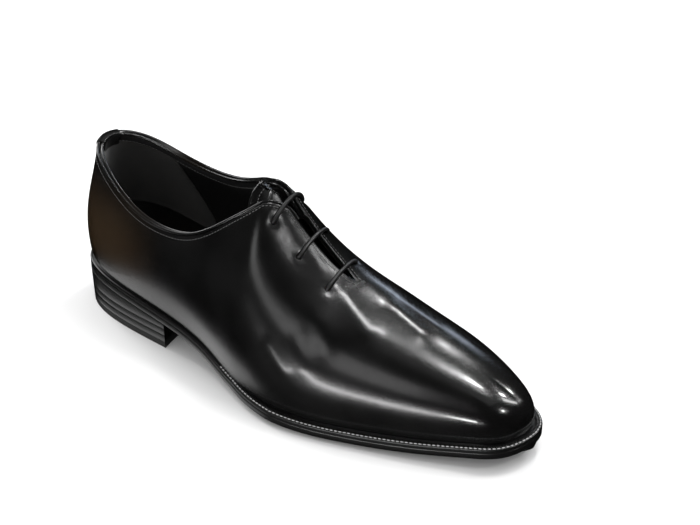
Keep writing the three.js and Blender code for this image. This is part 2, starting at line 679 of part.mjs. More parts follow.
const laceRoute = [
  under(-1, EYELET_X[MIDDLE_ROW], EYELET_OFFSET + 2),
  ...bar(MIDDLE_ROW, -1),
  under(1, EYELET_X[MIDDLE_ROW] + 3, EYELET_OFFSET),
  under(1, EYELET_X[BOTTOM_ROW] - 3, EYELET_OFFSET),
  ...bar(BOTTOM_ROW, 1),
  under(-1, EYELET_X[BOTTOM_ROW] - 3, EYELET_OFFSET + 0.5),
  under(-1, EYELET_X[MIDDLE_ROW] + 4, EYELET_OFFSET + PASS_BY),
  under(-1, EYELET_X[MIDDLE_ROW] - 4, EYELET_OFFSET + PASS_BY),
  under(-1, EYELET_X[TOP_ROW] + 3, EYELET_OFFSET + 0.5),
  ...bar(TOP_ROW, -1),
  under(1, EYELET_X[TOP_ROW], EYELET_OFFSET + 2),
];
const LACE_STEPS = 72;
add('lace', tube(laceRoute, LACE_DIAMETER / 2, LACE_STEPS), COTTON_BLACK, 0.7);

// The two ends are tucked inside: past the tongue's edge, down the lining and into the forefoot.
const LACE_ENDS = {
  outer: { held: laceRoute.slice(0, 2).reverse(), route: [
    [159, -24.5, 70.5], [162.5, -31, 64], [167, -37.5, 54], [174, -40.5, 43],
    [184, -43, 33], [196, -41, 26], [209, -35, 21.5], [222, -27, 19], [236, -18.5, 18.8],
    [250, -10, 19.6], [262, -1, 20.9], [265, 8, 21.4], [259, 15, 20.9], [248, 17.5, 19.8],
  ] },
  inner: { held: laceRoute.slice(-2), route: [
    [146.5, 21.5, 73], [149.5, 24, 63], [153, 26, 51], [159, 27, 39], [168, 29.5, 29],
    [180, 31, 22.5], [193, 31, 18.6], [206, 27, 17.5], [218, 19, 17.5], [229, 8, 18.1],
    [228, -3, 18], [219, -10, 17.4], [206, -13, 17], [193, -12, 16.8],
  ] },
};
const LACE_END_STEPS = 40;
const LACE_END_LEAD = [CLEARANCE, 2.3];   // the first points go straight on from the held lace
const AGLET_LENGTH = 20;
const AGLET_DIAMETER = 2.6;
for (const [name, { held, route }] of Object.entries(LACE_ENDS)) {
  const out = held[1].clone().sub(held[0]).normalize();
  const start = LACE_END_LEAD.map(gap => held[1].clone().addScaledVector(out, gap));
  const points = [...start, ...route.map(p => new THREE.Vector3(...p))];
  add(`lace_end_${name}`, tube(points, LACE_DIAMETER / 2, LACE_END_STEPS), COTTON_BLACK, 0.7);
  const tip = points.at(-1);
  const along = tip.clone().sub(points.at(-2)).setZ(0).normalize();
  const ends = [CLEARANCE, CLEARANCE + AGLET_LENGTH].map(gap => tip.clone().addScaledVector(along, gap));
  add(`aglet_${name}`, rod(...ends, AGLET_DIAMETER / 2, 8), FILM_BLACK, 0.3);
}

// A stitched bar across the end of the slit stops it tearing.
const TACK_WIDTH = 7;
const TACK_DIAMETER = 1.2;
const TACK_X = SLIT_END + 3;
const TACK_SAG = 0.12;            // it follows the vamp's roundness
const TACK_HEIGHT = TACK_DIAMETER / 2 + CLEARANCE + 0.1;
const tackRoute = range(-2, 2).map(i => lift(ridgePlace(TACK_X), TACK_HEIGHT)
  .add(new THREE.Vector3(0, i * TACK_WIDTH / 4, -TACK_SAG * i * i)));
add('slit_bar_tack', tube(tackRoute, TACK_DIAMETER / 2, 8, 6), COTTON_BLACK, 0.6);

// ---------- sole ----------
const weltWidth = polyline(alongLast([
  [0, WELT_HEEL], [76, WELT_HEEL], [104, WELT_WAIST], [140, WELT_WAIST], [171, WELT_FOREFOOT],
  [300, WELT_FOREFOOT],
]));
// A point of the feather line's outline, moved out by offset, at a column between stations.
function rim(k, offset) {
  const wrapped = mod(k, COLUMNS);
  const side = wrapped <= N ? -1 : 1;
  const station = side < 0 ? wrapped : COLUMNS - wrapped;
  const low = Math.min(Math.floor(station), N - 1);
  const f = foot(side, THREE.MathUtils.lerp(q0[low], q0[low + 1], station - low));
  const out = typeof offset === 'function' ? offset(f.x) : offset;
  return { x: f.x + f.nx * out, y: f.y + f.ny * out };
}
function columnAtX(side, offset, x) {
  let low = 1;
  let high = N - 1;
  for (let i = 0; i < HALVINGS; i++) {
    const middle = (low + high) / 2;
    const p = rim(side < 0 ? middle : COLUMNS - middle, offset);
    if (p.x < x) low = middle;
    else high = middle;
  }
  return low;
}
const vertex = (p, height) => new THREE.Vector3(p.x, p.y, height(p.x));

// A band round the outline between two offsets, from column to column.
function band(ks, outer, inner, bottom, top) {
  const skin = height => ks.map(k => [outer, inner].map(offset => vertex(rim(k, offset), height)));
  return shell(skin(top), skin(bottom), false);
}
// A plate over the whole outline between two lengths along it. Its underside may bulge down.
const ACROSS_FLAT = [0, 1];
const ACROSS_CROWNED = [0, 0.28, 0.5, 0.72, 1];
const LEAST_STEP = 0.3;           // columns closer than this to a plate's end are left out
function plate(offset, bottom, top, { from = 0, to = LENGTH * 2, crown = 0, taper = 0 } = {}) {
  const ends = moved => [-1, 1].map(side => [
    from > 0 ? columnAtX(side, moved, from) : 0,
    to < LENGTH ? columnAtX(side, moved, to) : N,
  ]);
  const skin = (height, bulge, moved) => {
    const [outer, inner] = ends(moved);
    const steps = range(Math.ceil(outer[0] + LEAST_STEP), Math.floor(outer[1] - LEAST_STEP));
    const stops = [from > 0 ? outer[0] : 0, ...steps.filter(k => k > outer[0]), outer[1]];
    return stops.map((k, i) => {
      const other = i === 0 ? inner[0] : (i === stops.length - 1 ? inner[1] : k);
      const a = vertex(rim(k, moved), height);
      const b = vertex(rim(COLUMNS - other, moved), height);
      return (crown ? ACROSS_CROWNED : ACROSS_FLAT).map(v => {
        const p = a.clone().lerp(b, v);
        if (v > 0 && v < 1) p.z = Math.max(height(p.x) - bulge(p.x), 0);
        return p;
      });
    });
  };
  const lower = typeof offset === 'function' ? x => offset(x) - taper : offset - taper;
  const none = () => 0;
  return shell(skin(top, none, offset), skin(bottom, crown || none, lower), false);
}

const welt = { bottom: x => seat(x) - WELT_THICKNESS, top: seat };
const outsoleTop = x => seat(x) - WELT_THICKNESS - CLEARANCE;
const outsoleBottom = x => outsoleTop(x) - OUTSOLE_THICKNESS;
const breast = atX(HEEL_BREAST_X);
const weltFrom = [-1, 1].map(side => columnAtX(side, weltWidth, breast));
const SPLICE = 0.05;
add('welt', band(wholeColumns(weltFrom[0] + SPLICE, COLUMNS - weltFrom[1] - SPLICE), weltWidth, -WELT_INSIDE,
  welt.bottom, welt.top), SOLE_BLACK, 0.5);
add('heel_rand', band(wholeColumns(-weltFrom[1] + SPLICE, weltFrom[0] - SPLICE), weltWidth, -WELT_INSIDE,
  welt.bottom, welt.top), SOLE_BLACK, 0.5);

// The outsole's underside is crowned past the heel: its edges stand off the ground.
const CROWN_DROP = 2.7;
const crownStart = atX(HEEL_BREAST_X + 12);
const crownFull = atX(HEEL_BREAST_X + 70);
add('outsole', plate(weltWidth, outsoleBottom, outsoleTop, {
  crown: x => CROWN_DROP * THREE.MathUtils.smoothstep(x, crownStart, crownFull),
}), SOLE_BLACK, 0.45);

const INSOLE_INSET = GRIP_DEPTH + 0.1;   // just inside the linings
const RIB_INSET = LASTING_MARGIN + CLEARANCE;
const RIB_THICKNESS = 1.4;
const CORK_INSET = RIB_INSET + RIB_THICKNESS + CLEARANCE;
const insoleBottom = x => seat(x) + MARGIN_TOP;
const insoleTop = x => insoleBottom(x) + INSOLE_THICKNESS;
add('insole', plate(-INSOLE_INSET, insoleBottom, insoleTop), TAN, 0.8);
add('insole_rib', band(range(0, COLUMNS), -RIB_INSET, -RIB_INSET - RIB_THICKNESS,
  x => outsoleTop(x) + CLEARANCE, x => insoleBottom(x) - CLEARANCE), TAN, 0.8);
const SHANK_END = atX(168);
const CORK_START = SHANK_END + 2;
add('cork_filler', plate(-CORK_INSET, x => outsoleTop(x) + CLEARANCE, x => insoleBottom(x) - CLEARANCE,
  { from: CORK_START }), CORK, 0.95);

const SHANK_WIDTH = 14;
const SHANK_THICKNESS = 1.2;
const SHANK_START = atX(48);
const SHANK_Y = -2;
const SHANK_STEPS = 12;
function makeShank() {
  const rows = range(0, SHANK_STEPS).map(i => SHANK_START + (SHANK_END - SHANK_START) * i / SHANK_STEPS);
  const skin = raise => rows.map(x => [-0.5, 0.5].map(v => new THREE.Vector3(
    x, SHANK_Y + v * SHANK_WIDTH, outsoleTop(x) + CLEARANCE + raise)));
  return shell(skin(SHANK_THICKNESS), skin(0), false);
}
add('shank', makeShank(), STEEL, 0.4, 0.9);

const SOCK_INSET = GRIP_DEPTH + GRIP_THICKNESS + CLEARANCE;
const sockBottom = x => insoleTop(x) + CLEARANCE;
add('sock_liner', plate(-SOCK_INSET, sockBottom, x => sockBottom(x) + SOCK_THICKNESS), LINING_BLACK, 0.5);

// ---------- heel ----------
const heelOffset = z => WELT_HEEL - HEEL_TAPER * (1 - z / outsoleBottom(atX(0)));
function heelPlate(name, bottom, top, color, roughness) {
  const wide = heelOffset(top(breast));
  const taper = wide - heelOffset(bottom(breast));
  return [name, plate(wide, bottom, top, { to: breast, taper }), color, roughness];
}
const flat = z => () => z;
const NAIL_INSET = 9;
const NAIL_COLUMNS = [-6.5, -4, -1.8, 1.8, 4, 6.5];
const nail = (k, grow) => {
  const p = rim(k, -NAIL_INSET);
  const head = new THREE.Vector3(p.x, p.y, CLEARANCE - grow * 2);
  const point = new THREE.Vector3(p.x, p.y, CLEARANCE + NAIL_LENGTH + grow);
  return rod(head, point, NAIL_DIAMETER / 2 + grow);
};
const nailHoles = NAIL_COLUMNS.map(k => nail(k, CLEARANCE));
const heelPieces = [heelPlate('top_lift', flat(0), flat(TOP_LIFT_THICKNESS), RUBBER, 0.7)];
let stack = TOP_LIFT_THICKNESS + CLEARANCE;
for (let i = 1; i <= LIFTS; i++) {
  heelPieces.push(heelPlate(`heel_lift_${i}`, flat(stack), flat(stack + LIFT_THICKNESS), SOLE_BLACK, 0.4));
  stack += LIFT_THICKNESS + CLEARANCE;
}
const seatLiftTop = x => outsoleBottom(x) - CLEARANCE;
heelPieces.push(heelPlate('heel_seat_lift', flat(stack), seatLiftTop, SOLE_BLACK, 0.4));
for (const [name, geometry, color, roughness] of heelPieces) {
  const drilled = name === 'top_lift' || name === 'heel_lift_1';
  add(name, drilled ? cut(geometry, nailHoles) : geometry, color, roughness);
}
NAIL_COLUMNS.forEach((k, i) => add(`heel_nail_${i + 1}`, nail(k, 0), BRASS, 0.35, 0.9));

// ---------- the origin: centred over the ground ----------
const box = new THREE.Box3().setFromObject(group);
const centre = box.getCenter(new THREE.Vector3());
group.position.set(-centre.x, -centre.y, -box.min.z);
export default group;
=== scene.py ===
# %% [markdown]
# # A leather oxford shoe
# This is a right shoe of one-piece ("wholecut") pattern: one hide wrapped round a last, slit open over
# the instep, laced through three pairs of holes and sewn by its foot to a welted leather sole.
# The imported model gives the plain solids, where they lie and what moves. The cells below give it its
# finished surface. The shoe's own sizes are in millimetres on the last, and become metres in one place
# only; the lights and the limits of the calf's wax are in metres.

import math

import bmesh
import bpy
import numpy as np
from mathutils import Matrix, Vector


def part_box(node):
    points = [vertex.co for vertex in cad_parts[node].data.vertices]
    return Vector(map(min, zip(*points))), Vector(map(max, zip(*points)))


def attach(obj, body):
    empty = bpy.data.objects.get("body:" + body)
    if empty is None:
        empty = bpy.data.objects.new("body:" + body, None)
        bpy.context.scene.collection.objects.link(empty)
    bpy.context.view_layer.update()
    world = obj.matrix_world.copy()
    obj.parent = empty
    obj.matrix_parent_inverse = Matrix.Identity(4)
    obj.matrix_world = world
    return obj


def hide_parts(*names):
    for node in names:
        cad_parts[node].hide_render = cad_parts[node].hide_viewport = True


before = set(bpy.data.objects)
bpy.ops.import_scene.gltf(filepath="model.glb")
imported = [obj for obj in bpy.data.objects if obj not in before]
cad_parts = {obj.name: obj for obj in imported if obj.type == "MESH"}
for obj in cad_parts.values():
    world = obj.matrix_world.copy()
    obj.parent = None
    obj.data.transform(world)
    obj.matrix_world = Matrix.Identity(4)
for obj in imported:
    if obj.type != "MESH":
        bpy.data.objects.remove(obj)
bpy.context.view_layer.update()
scene = bpy.context.scene

MM = 0.001
OUTSOLE_LOW = np.array([0.6, -57.792, 0.0])     # the outsole's lowest corner, measured on the last
ORIGIN = OUTSOLE_LOW - np.array(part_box("outsole")[0]) / MM


def row(point):
    """A place on the last, in mm, as a place in the frame, in metres."""
    return (np.asarray(point, float) - ORIGIN) * MM


print("frame:", len(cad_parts), "nodes, the last's zero lies at", np.round(row((0, 0, 0)), 4))

# %% [markdown]
# ## The camera
# The view looks down on the shoe's outer side from its front corner. A camera is easiest to place as a
# person would: choose what it looks at, walk round it by an angle, climb by another, and step back. The
# long lens keeps the shoe from looking stretched.

# %% Place the camera
AIM = np.array([147.5, 51.53, 40.0])            # beside the shoe, which fills the view's lower left
ROUND_ANGLE = math.radians(35.98)
UP_ANGLE = math.radians(33.45)
DISTANCE = 1163.95
SENSOR = 36.0
LENS = 102.62
CLIP_START = 0.05


def aim_camera():
    cos_r, sin_r = math.cos(ROUND_ANGLE), math.sin(ROUND_ANGLE)
    cos_u, sin_u = math.cos(UP_ANGLE), math.sin(UP_ANGLE)
    right = np.array([cos_r, sin_r, 0.0])
    back = np.array([sin_r * cos_u, -cos_r * cos_u, sin_u])
    up = np.cross(back, right)
    data = bpy.data.cameras.new("camera")
    data.sensor_width = SENSOR
    data.lens = LENS
    data.clip_start = CLIP_START
    camera = bpy.data.objects.new("camera", data)
    scene.collection.objects.link(camera)
    matrix = np.eye(4)
    matrix[:3, 0], matrix[:3, 1], matrix[:3, 2] = right, up, back
    matrix[:3, 3] = row(AIM + DISTANCE * back)
    camera.matrix_world = Matrix(matrix)
    scene.camera = camera
    return camera


camera = aim_camera()
print("camera at", [round(v, 3) for v in camera.location])

# %% [markdown]
# ## From arrays to objects
# Most pieces here are grids of points: rings round the shoe, joined one to the next. Building them as
# arrays and handing them to Blender in one go is quicker than adding faces one by one. Points that meet
# are merged afterwards, and the normals of the closed result are turned outwards.

# %% Helpers that make mesh objects
MERGE = 0.01 * MM
SHARP = 38                # degrees between faces, past which an edge stays sharp


def unit(vectors):
    return vectors / np.linalg.norm(vectors, axis=-1, keepdims=True)


def length_along(points):
    """The distance from the first point to each one, along the line."""
    return np.concatenate([[0], np.cumsum(np.linalg.norm(np.diff(points, axis=0), axis=1))])


def full_turn(sides):
    """Angles in equal steps, once round."""
    return np.arange(sides) * 2 * np.pi / sides


def make_object(name, mesh):
    piece = bpy.data.objects.new(name, mesh)
    scene.collection.objects.link(piece)
    return piece


def make_piece(name, points, faces, sharp=SHARP, merge=MERGE, uv=None):
    """A mesh object from places on the last and its faces, merged, turned outwards and smooth."""
    mesh = bpy.data.meshes.new(name)
    mesh.from_pydata([tuple(p) for p in row(points)], [], [tuple(int(i) for i in f) for f in faces])
    if uv is not None:
        layer = mesh.uv_layers.new(name="UVMap")
        index = np.zeros(len(mesh.loops), int)
        mesh.loops.foreach_get("vertex_index", index)
        layer.data.foreach_set("uv", np.asarray(uv, np.float32)[index].ravel())
    cleaner = bmesh.new()
    cleaner.from_mesh(mesh)
    bmesh.ops.remove_doubles(cleaner, verts=cleaner.verts, dist=merge)
    bmesh.ops.dissolve_degenerate(cleaner, edges=cleaner.edges, dist=merge / 10)
    bmesh.ops.recalc_face_normals(cleaner, faces=cleaner.faces)
    cleaner.to_mesh(mesh)
    cleaner.free()
    shade(mesh, sharp)
    return make_object(name, mesh)


def shade(mesh, sharp):
    mesh.polygons.foreach_set("use_smooth", np.ones(len(mesh.polygons), bool))
    mesh.set_sharp_from_angle(angle=math.radians(sharp))


def grid_faces(lines, count, around=False, closed=False, start=0):
    """Quads of a grid of points: lines of count points, closed along the line and round the grid."""
    a = np.arange(lines if around else lines - 1)[:, None]
    b = np.arange(count if closed else count - 1)[None, :]
    a2, b2 = (a + 1) % lines, (b + 1) % count
    quads = np.stack([a * count + b, a2 * count + b, a2 * count + b2, a * count + b2], -1)
    return quads.reshape(-1, 4) + start


def loft(name, rings, around=False, **kind):
    """Closed rings of points joined in turn. Unless the rings close on themselves, the ends are filled."""
    lines, count = rings.shape[:2]
    faces = [tuple(f) for f in grid_faces(lines, count, around, closed=True)]
    if not around:
        faces.append(tuple(range(count)))
        faces.append(tuple(range((lines - 1) * count, lines * count)))
    return make_piece(name, rings.reshape(-1, 3), faces, **kind)


def finish_piece(piece, material, body="shoe", replaces=()):
    piece.data.materials.clear()
    piece.data.materials.append(material)
    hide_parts(*replaces)
    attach(piece, body)
    print(f"{piece.name}: {len(piece.data.polygons)} faces, stands for {list(replaces)}")


# %% [markdown]
# ## The lace's two tucked ends
# A laced dress shoe hides its lace ends inside. Each runs from the last hole down past the tongue's edge,
# over the lining and forward along the sock, where it lies flat, and it ends in a short film tip. These are
# free cords, so their routes are listed places, joined by one smooth curve.

# %% The routes, and a tube that follows a route
LACE_DIAMETER = 2.4
GAP = 0.3
LACE_ENDS = {
    "outer": [(157.85, -14.58, 79.21), (157.36, -15.95, 77.84), (159, -24.5, 70.5), (162.5, -31, 64),
              (167, -37.5, 54), (174, -40.5, 43), (184, -43, 33), (196, -41, 26), (209, -35, 21.5),
              (222, -27, 19), (236, -18.5, 18.8), (250, -10, 19.6), (262, -1, 20.9), (265, 8, 21.4),
              (259, 15, 20.9), (248, 17.5, 19.8)],
    "inner": [(142.51, 17.06, 84.89), (142.47, 17.5, 82.94), (146.5, 21.5, 73), (149.5, 24, 63),
              (153, 26, 51), (159, 27, 39), (168, 29.5, 29), (180, 31, 22.5), (193, 31, 18.6),
              (206, 27, 17.5), (218, 19, 17.5), (229, 8, 18.1), (228, -3, 18), (219, -10, 17.4),
              (206, -13, 17), (193, -12, 16.8)],
}


def smooth_route(points, pitch):
    """Points about pitch apart on the centripetal Catmull-Rom curve through the route's points."""
    points = np.asarray(points, float)
    before, after = [2 * points[0] - points[1]], [2 * points[-1] - points[-2]]
    padded = np.concatenate([before, points, after])
    t = np.linspace(0, 1, 25)[1:, None]
    dense = [points[0]]
    for p0, p1, p2, p3 in zip(padded, padded[1:], padded[2:], padded[3:]):
        pairs = ((p0, p1), (p1, p2), (p2, p3))
        d0, d1, d2 = (max(np.linalg.norm(b - a) ** 0.5, 1e-4) for a, b in pairs)
        m1 = ((p1 - p0) / d0 - (p2 - p0) / (d0 + d1) + (p2 - p1) / d1) * d1
        m2 = ((p2 - p1) / d1 - (p3 - p1) / (d1 + d2) + (p3 - p2) / d2) * d1
        square = 3 * (p2 - p1) - 2 * m1 - m2
        cube = 2 * (p1 - p2) + m1 + m2
        dense.extend(p1 + m1 * t + square * t ** 2 + cube * t ** 3)
    dense = np.array(dense)
    length = length_along(dense)
    stops = np.linspace(0, length[-1], max(int(round(length[-1] / pitch)), 2) + 1)
    return np.stack([np.interp(stops, length, dense[:, i]) for i in range(3)], -1), stops


def frames_along(points):
    """Two directions across the route at each point, which don't twist round it."""
    along = unit(np.gradient(points, axis=0))
    across = np.zeros_like(points)
    start = np.cross(along[0], (0.0, 0.0, 1.0))
    across[0] = start / np.linalg.norm(start)
    for i in range(1, len(points)):
        kept = across[i - 1] - along[i] * np.dot(across[i - 1], along[i])
        across[i] = kept / np.linalg.norm(kept)
    return along, across, np.cross(along, across)


CORD_PITCH = 0.8
END_OVERHANG = 0.02
END_RADIUS_SHARE = 0.3


def cord_mesh(name, route, diameter, pitch=CORD_PITCH, sides=14):
    """A round cord with blunt ends, and with its length and the way round it as its UV map."""
    points, stops = smooth_route(route, pitch)
    along, u, v = frames_along(points)
    radius = np.full(len(points), diameter / 2)
    first, last = points[:1] + along[:1] * END_OVERHANG, points[-1:] - along[-1:] * END_OVERHANG
    points = np.concatenate([first, points, last])
    u, v = (np.concatenate([a[:1], a, a[-1:]]) for a in (u, v))
    stops = np.concatenate([stops[:1], stops, stops[-1:]])
    blunt = [diameter * END_RADIUS_SHARE]
    radius = np.concatenate([blunt, radius, blunt])
    angle = full_turn(sides)
    round_it = np.cos(angle)[None, :, None] * u[:, None] + np.sin(angle)[None, :, None] * v[:, None]
    rings = points[:, None] + radius[:, None, None] * round_it
    uv = np.stack(np.broadcast_arrays(stops[:, None], np.abs(angle / np.pi - 1)[None, :]), -1)
    return loft(name, rings, sharp=60, uv=uv.reshape(-1, 2))


def route_length(route):
    return smooth_route(route, CORD_PITCH)[1][-1]


# %% The cords themselves
PATH_PITCH = 2.0
cords = {}
for side, route in LACE_ENDS.items():
    cord = cord_mesh(f"tucked_lace_{side}", route, LACE_DIAMETER, sides=12)
    centre_line = row(smooth_route(route, PATH_PITCH)[0])
    length = route_length(route)
    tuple(centre_line[0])
    [list(p) for p in centre_line]
    cords[side] = cord
    print(f"tucked lace, {side} side: {length:.1f} mm")

# %% [markdown]
# ## Shader maths in plain Python
# A procedural finish is arithmetic on a few patterns. Wiring Math nodes by hand hides that arithmetic, so
# a small class wraps a socket: adding or multiplying two wrapped sockets adds the node that does it.

# %% The value class and the finish builder
class Value:
    """A number that varies over a surface."""

    def __init__(self, finish, socket):
        self.finish = finish
        self.socket = socket

    def math(self, operation, *others):
        return self.finish.math(operation, self, *others)

    def __add__(self, other):
        return self.math("ADD", other)

    def __mul__(self, other):
        return self.math("MULTIPLY", other)

    def __sub__(self, other):
        return self.math("SUBTRACT", other)

    def __rsub__(self, other):
        return self.finish.math("SUBTRACT", other, self)

    __radd__ = __add__
    __rmul__ = __mul__

    def step(self, low, high):
        """0 below low and 1 above high, smooth between."""
        node = self.finish.node("ShaderNodeMapRange", {"interpolation_type": "SMOOTHSTEP"},
                                {"Value": self, "From Min": low, "From Max": high})
        return Value(self.finish, node.outputs["Result"])

    def sin(self):
        return self.math("SINE")


class Finish:
    """One material: its Principled shader, and the nodes that feed it."""

    def __init__(self, name, **shader):
        self.material = bpy.data.materials.new(name)
        self.material.use_nodes = True
        self.tree = self.material.node_tree
        self.shader = self.tree.nodes["Principled BSDF"]
        self.place = self.node("ShaderNodeTexCoord").outputs["Object"]
        for label, value in shader.items():
            self.shader.inputs[self.label(label)].default_value = value

    @staticmethod
    def label(name):
        return name.replace("_", " ").title().replace("Ior", "IOR")

    def node(self, kind, settings=None, inputs=None):
        node = self.tree.nodes.new(kind)
        for label, value in (settings or {}).items():
            setattr(node, label, value)
        for label, value in (inputs or {}).items():
            self.feed(node.inputs[label], value)
        return node

    def feed(self, socket, value):
        if isinstance(value, Value):
            value = value.socket
        if isinstance(value, bpy.types.NodeSocket):
            self.tree.links.new(value, socket)
        else:
            socket.default_value = value

    def math(self, operation, *values):
        node = self.node("ShaderNodeMath", {"operation": operation}, dict(enumerate(values)))
        return Value(self, node.outputs[0])

    def axes(self):
        """The piece's own coordinates, in metres, as three numbers."""
        split = self.node("ShaderNodeSeparateXYZ", {}, {0: self.place})
        return [Value(self, socket) for socket in split.outputs]

    def length_and_round(self):
        """On a cord: the distance along it in mm, and the share of the way round it."""
        uv = self.node("ShaderNodeUVMap", {"uv_map": "UVMap"}).outputs["UV"]
        split = self.node("ShaderNodeSeparateXYZ", {}, {0: uv})
        return Value(self, split.outputs["X"]), Value(self, split.outputs["Y"])

    def noise(self, size, detail=3.0, rough=0.5, stretch=None):
        """Soft noise from 0 to 1 whose blotches are about size mm across."""
        vector = self.place
        if stretch:
            vector = self.node("ShaderNodeMapping", {}, {"Vector": vector, "Scale": stretch}).outputs[0]
        node = self.node("ShaderNodeTexNoise", {}, {
            "Vector": vector, "Scale": 1 / (size * MM), "Detail": detail, "Roughness": rough})
        return Value(self, node.outputs["Fac"])

    def cells(self, size, feature="DISTANCE_TO_EDGE"):
        """The distance to the edge, or the centre, of cells about size mm across."""
        node = self.node("ShaderNodeTexVoronoi", {"feature": feature},
                         {"Vector": self.place, "Scale": 1 / (size * MM)})
        return Value(self, node.outputs["Distance"])

    def mix(self, share, first, second):
        node = self.node("ShaderNodeMix", {"data_type": "RGBA"}, {0: share})
        self.feed(node.inputs[6], first)
        self.feed(node.inputs[7], second)
        return node.outputs[2]

    def bump(self, height, depth, strength=1.0, under=None):
        """A bump whose height runs from 0 to 1 over depth mm."""
        inputs = {"Height": height, "Distance": depth * MM, "Strength": strength}
        if under is not None:
            inputs["Normal"] = under
        return self.node("ShaderNodeBump", {}, inputs).outputs["Normal"]

    def wear(self, **feeds):
        for label, value in feeds.items():
            self.feed(self.shader.inputs[self.label(label)], value)
        return self.material


def grey(value, warm=0.0):
    return (value * (1 + warm), value, value * (1 - warm), 1.0)


# %% [markdown]
# ## The shape of the last
# A shoe's surface is the outside of the last it was made on. It is drawn here as a last maker draws it:
# the outline of the foot seen from above, the profile of the ridge seen from the side, and between the two
# a curve for each cross-section. A cubic Bezier does for a section: it leaves the sole leaning outwards and
# reaches the ridge flat, so the two sides meet without a crease.

# %% Curves through a few points
def spline(points):
    """A natural cubic spline through the points, held at its ends outside them."""
    xs, ys = np.array(points, float).T
    count = len(xs)
    h = np.diff(xs)
    matrix = np.eye(count)
    rise = np.zeros(count)
    for i in range(1, count - 1):
        matrix[i, i - 1:i + 2] = h[i - 1], 2 * (h[i - 1] + h[i]), h[i]
        rise[i] = 6 * ((ys[i + 1] - ys[i]) / h[i] - (ys[i] - ys[i - 1]) / h[i - 1])
    bend = np.linalg.solve(matrix, rise)

    def curve(q):
        x = np.clip(q, xs[0], xs[-1])
        i = np.clip(np.searchsorted(xs, x, side="right") - 1, 0, count - 2)
        d, e = x - xs[i], xs[i + 1] - x
        return ((bend[i] * e ** 3 + bend[i + 1] * d ** 3) / (6 * h[i])
                + (ys[i] / h[i] - bend[i] * h[i] / 6) * e
                + (ys[i + 1] / h[i] - bend[i + 1] * h[i] / 6) * d)
    return curve


def polyline(points):
    xs, ys = np.array(points, float).T
    return lambda q: np.interp(q, xs, ys)


def smoothstep(x, low, high):
    share = np.clip((x - low) / (high - low), 0, 1)
    return share * share * (3 - 2 * share)


# %% The last's own curves
FEATHER = [
    [2.4, 0], [9.5, -18.8], [34, -30], [72, -34.2], [110, -39], [146, -50.5], [183, -51.5],
    [216, -43.5], [250, -32.5], [277, -21.8], [293.5, -12.8], [299.8, 3.2], [295, 16],
    [277.5, 27.5], [250, 38.5], [219, 43.5], [186, 43], [146, 31], [110, 25], [72, 27],
    [34, 27.5], [9.5, 18],
]
TOE_POINT = 11
WRAP = 5
TURNS = [(i, FEATHER[i % len(FEATHER)]) for i in range(-WRAP, len(FEATHER) + WRAP + 1)]
feather_x = spline([(i, p[0]) for i, p in TURNS])
feather_y = spline([(i, p[1]) for i, p in TURNS])
seat = spline([(-8, 30.2), (30, 28.4), (67, 24.9), (98, 19.9), (128, 13.9), (159, 10), (189, 8.9),
               (226, 9.7), (265, 12.6), (305, 16.7), (322, 18.2)])
ridge = spline([(108, 134), (120, 127), (134, 116.5), (146, 103), (161, 87.3), (171, 79), (183, 71.3),
                (197, 65.2), (214, 59.5), (234, 54), (256, 48.3), (272, 43.5), (284, 38.6), (297, 30)])
ridge_y = spline([(108, 0.5), (146, 2.5), (183, 3), (226, 2.5), (270, 3.2), (305, 3.2)])
crown_x = spline([(0, 10), (0.06, 16), (0.13, 30), (0.22, 57), (0.30, 83), (0.38, 109), (0.48, 140),
                  (0.58, 171), (0.68, 201), (0.78, 231), (0.86, 253), (0.92, 267), (0.96, 274), (1, 279)])
TOPLINES = (
    spline([(6, 102.5), (24, 96.5), (44, 87.5), (60, 81.5), (79, 79), (96, 81.2), (109, 88),
            (121.5, 97.5), (132, 105.5), (142, 113)]),
    spline([(6, 102.5), (24, 96), (44, 88), (60, 85), (72, 85), (84, 86.8), (101, 93.2),
            (118, 103), (132, 111), (142, 118)]),
)
SLIT_REST = [(146, 4.8), (160, 4), (174, 3.2), (182, 2), (187, 0.4)]
slit_halves = (polyline([(131, 14), (136, 14), (140.5, 10), (143.5, 7)] + SLIT_REST),
               polyline([(131, 8), (136, 7.4), (141, 6)] + SLIT_REST))
lean = polyline([(0, 6.2), (46, 7.4), (107, 9.9), (183, 8.1), (244, 6.2), (290, 4.3), (305, 3.7)])
lower_handle = polyline([(30, 0.45), (122, 0.468), (213, 0.54), (290, 0.63)])
upper_handle = polyline([(30, 0.35), (122, 0.55), (213, 0.62), (290, 0.66)])
SLIT = (131, 187)
TOPLINE_END = 145
CROWN_Z = 118                      # over the open mouth the sections end on a level oval ring
CROWN_HALF_WIDTH = 26
CROWN_CENTRE = 58
CROWN_BACK = 48
CROWN_FRONT = 64
RIDGE_START = 108                  # in front of this they end at the ridge's height
RING_END = 122
SWAY = (60, 110)                   # where the ridge's own sideways curve sets in
VAMP_BLEND = (92, 140)             # where the quarter's sections give way to the vamp's
QUARTER_REACH = 0.3
QUARTER_DROP = 0.42

# %% Where the outline is, round the shoe
# k runs round the shoe: 0 at the heel's back, 1 at the toe along the outer side, 2 back at the heel.
TABLE_STEPS = 1200


def outline_table(start, end):
    """One side of the outline: shares of its length, the curve's own parameter there, and the length."""
    u = np.linspace(start, end, TABLE_STEPS)
    length = np.concatenate([[0], np.cumsum(np.hypot(np.diff(feather_x(u)), np.diff(feather_y(u))))])
    return length / length[-1], u, length[-1]


OUTER = outline_table(0, TOE_POINT)
INNER = outline_table(len(FEATHER), TOE_POINT)
print("feather line:", round(OUTER[2]), "mm outer side,", round(INNER[2]), "mm inner side")


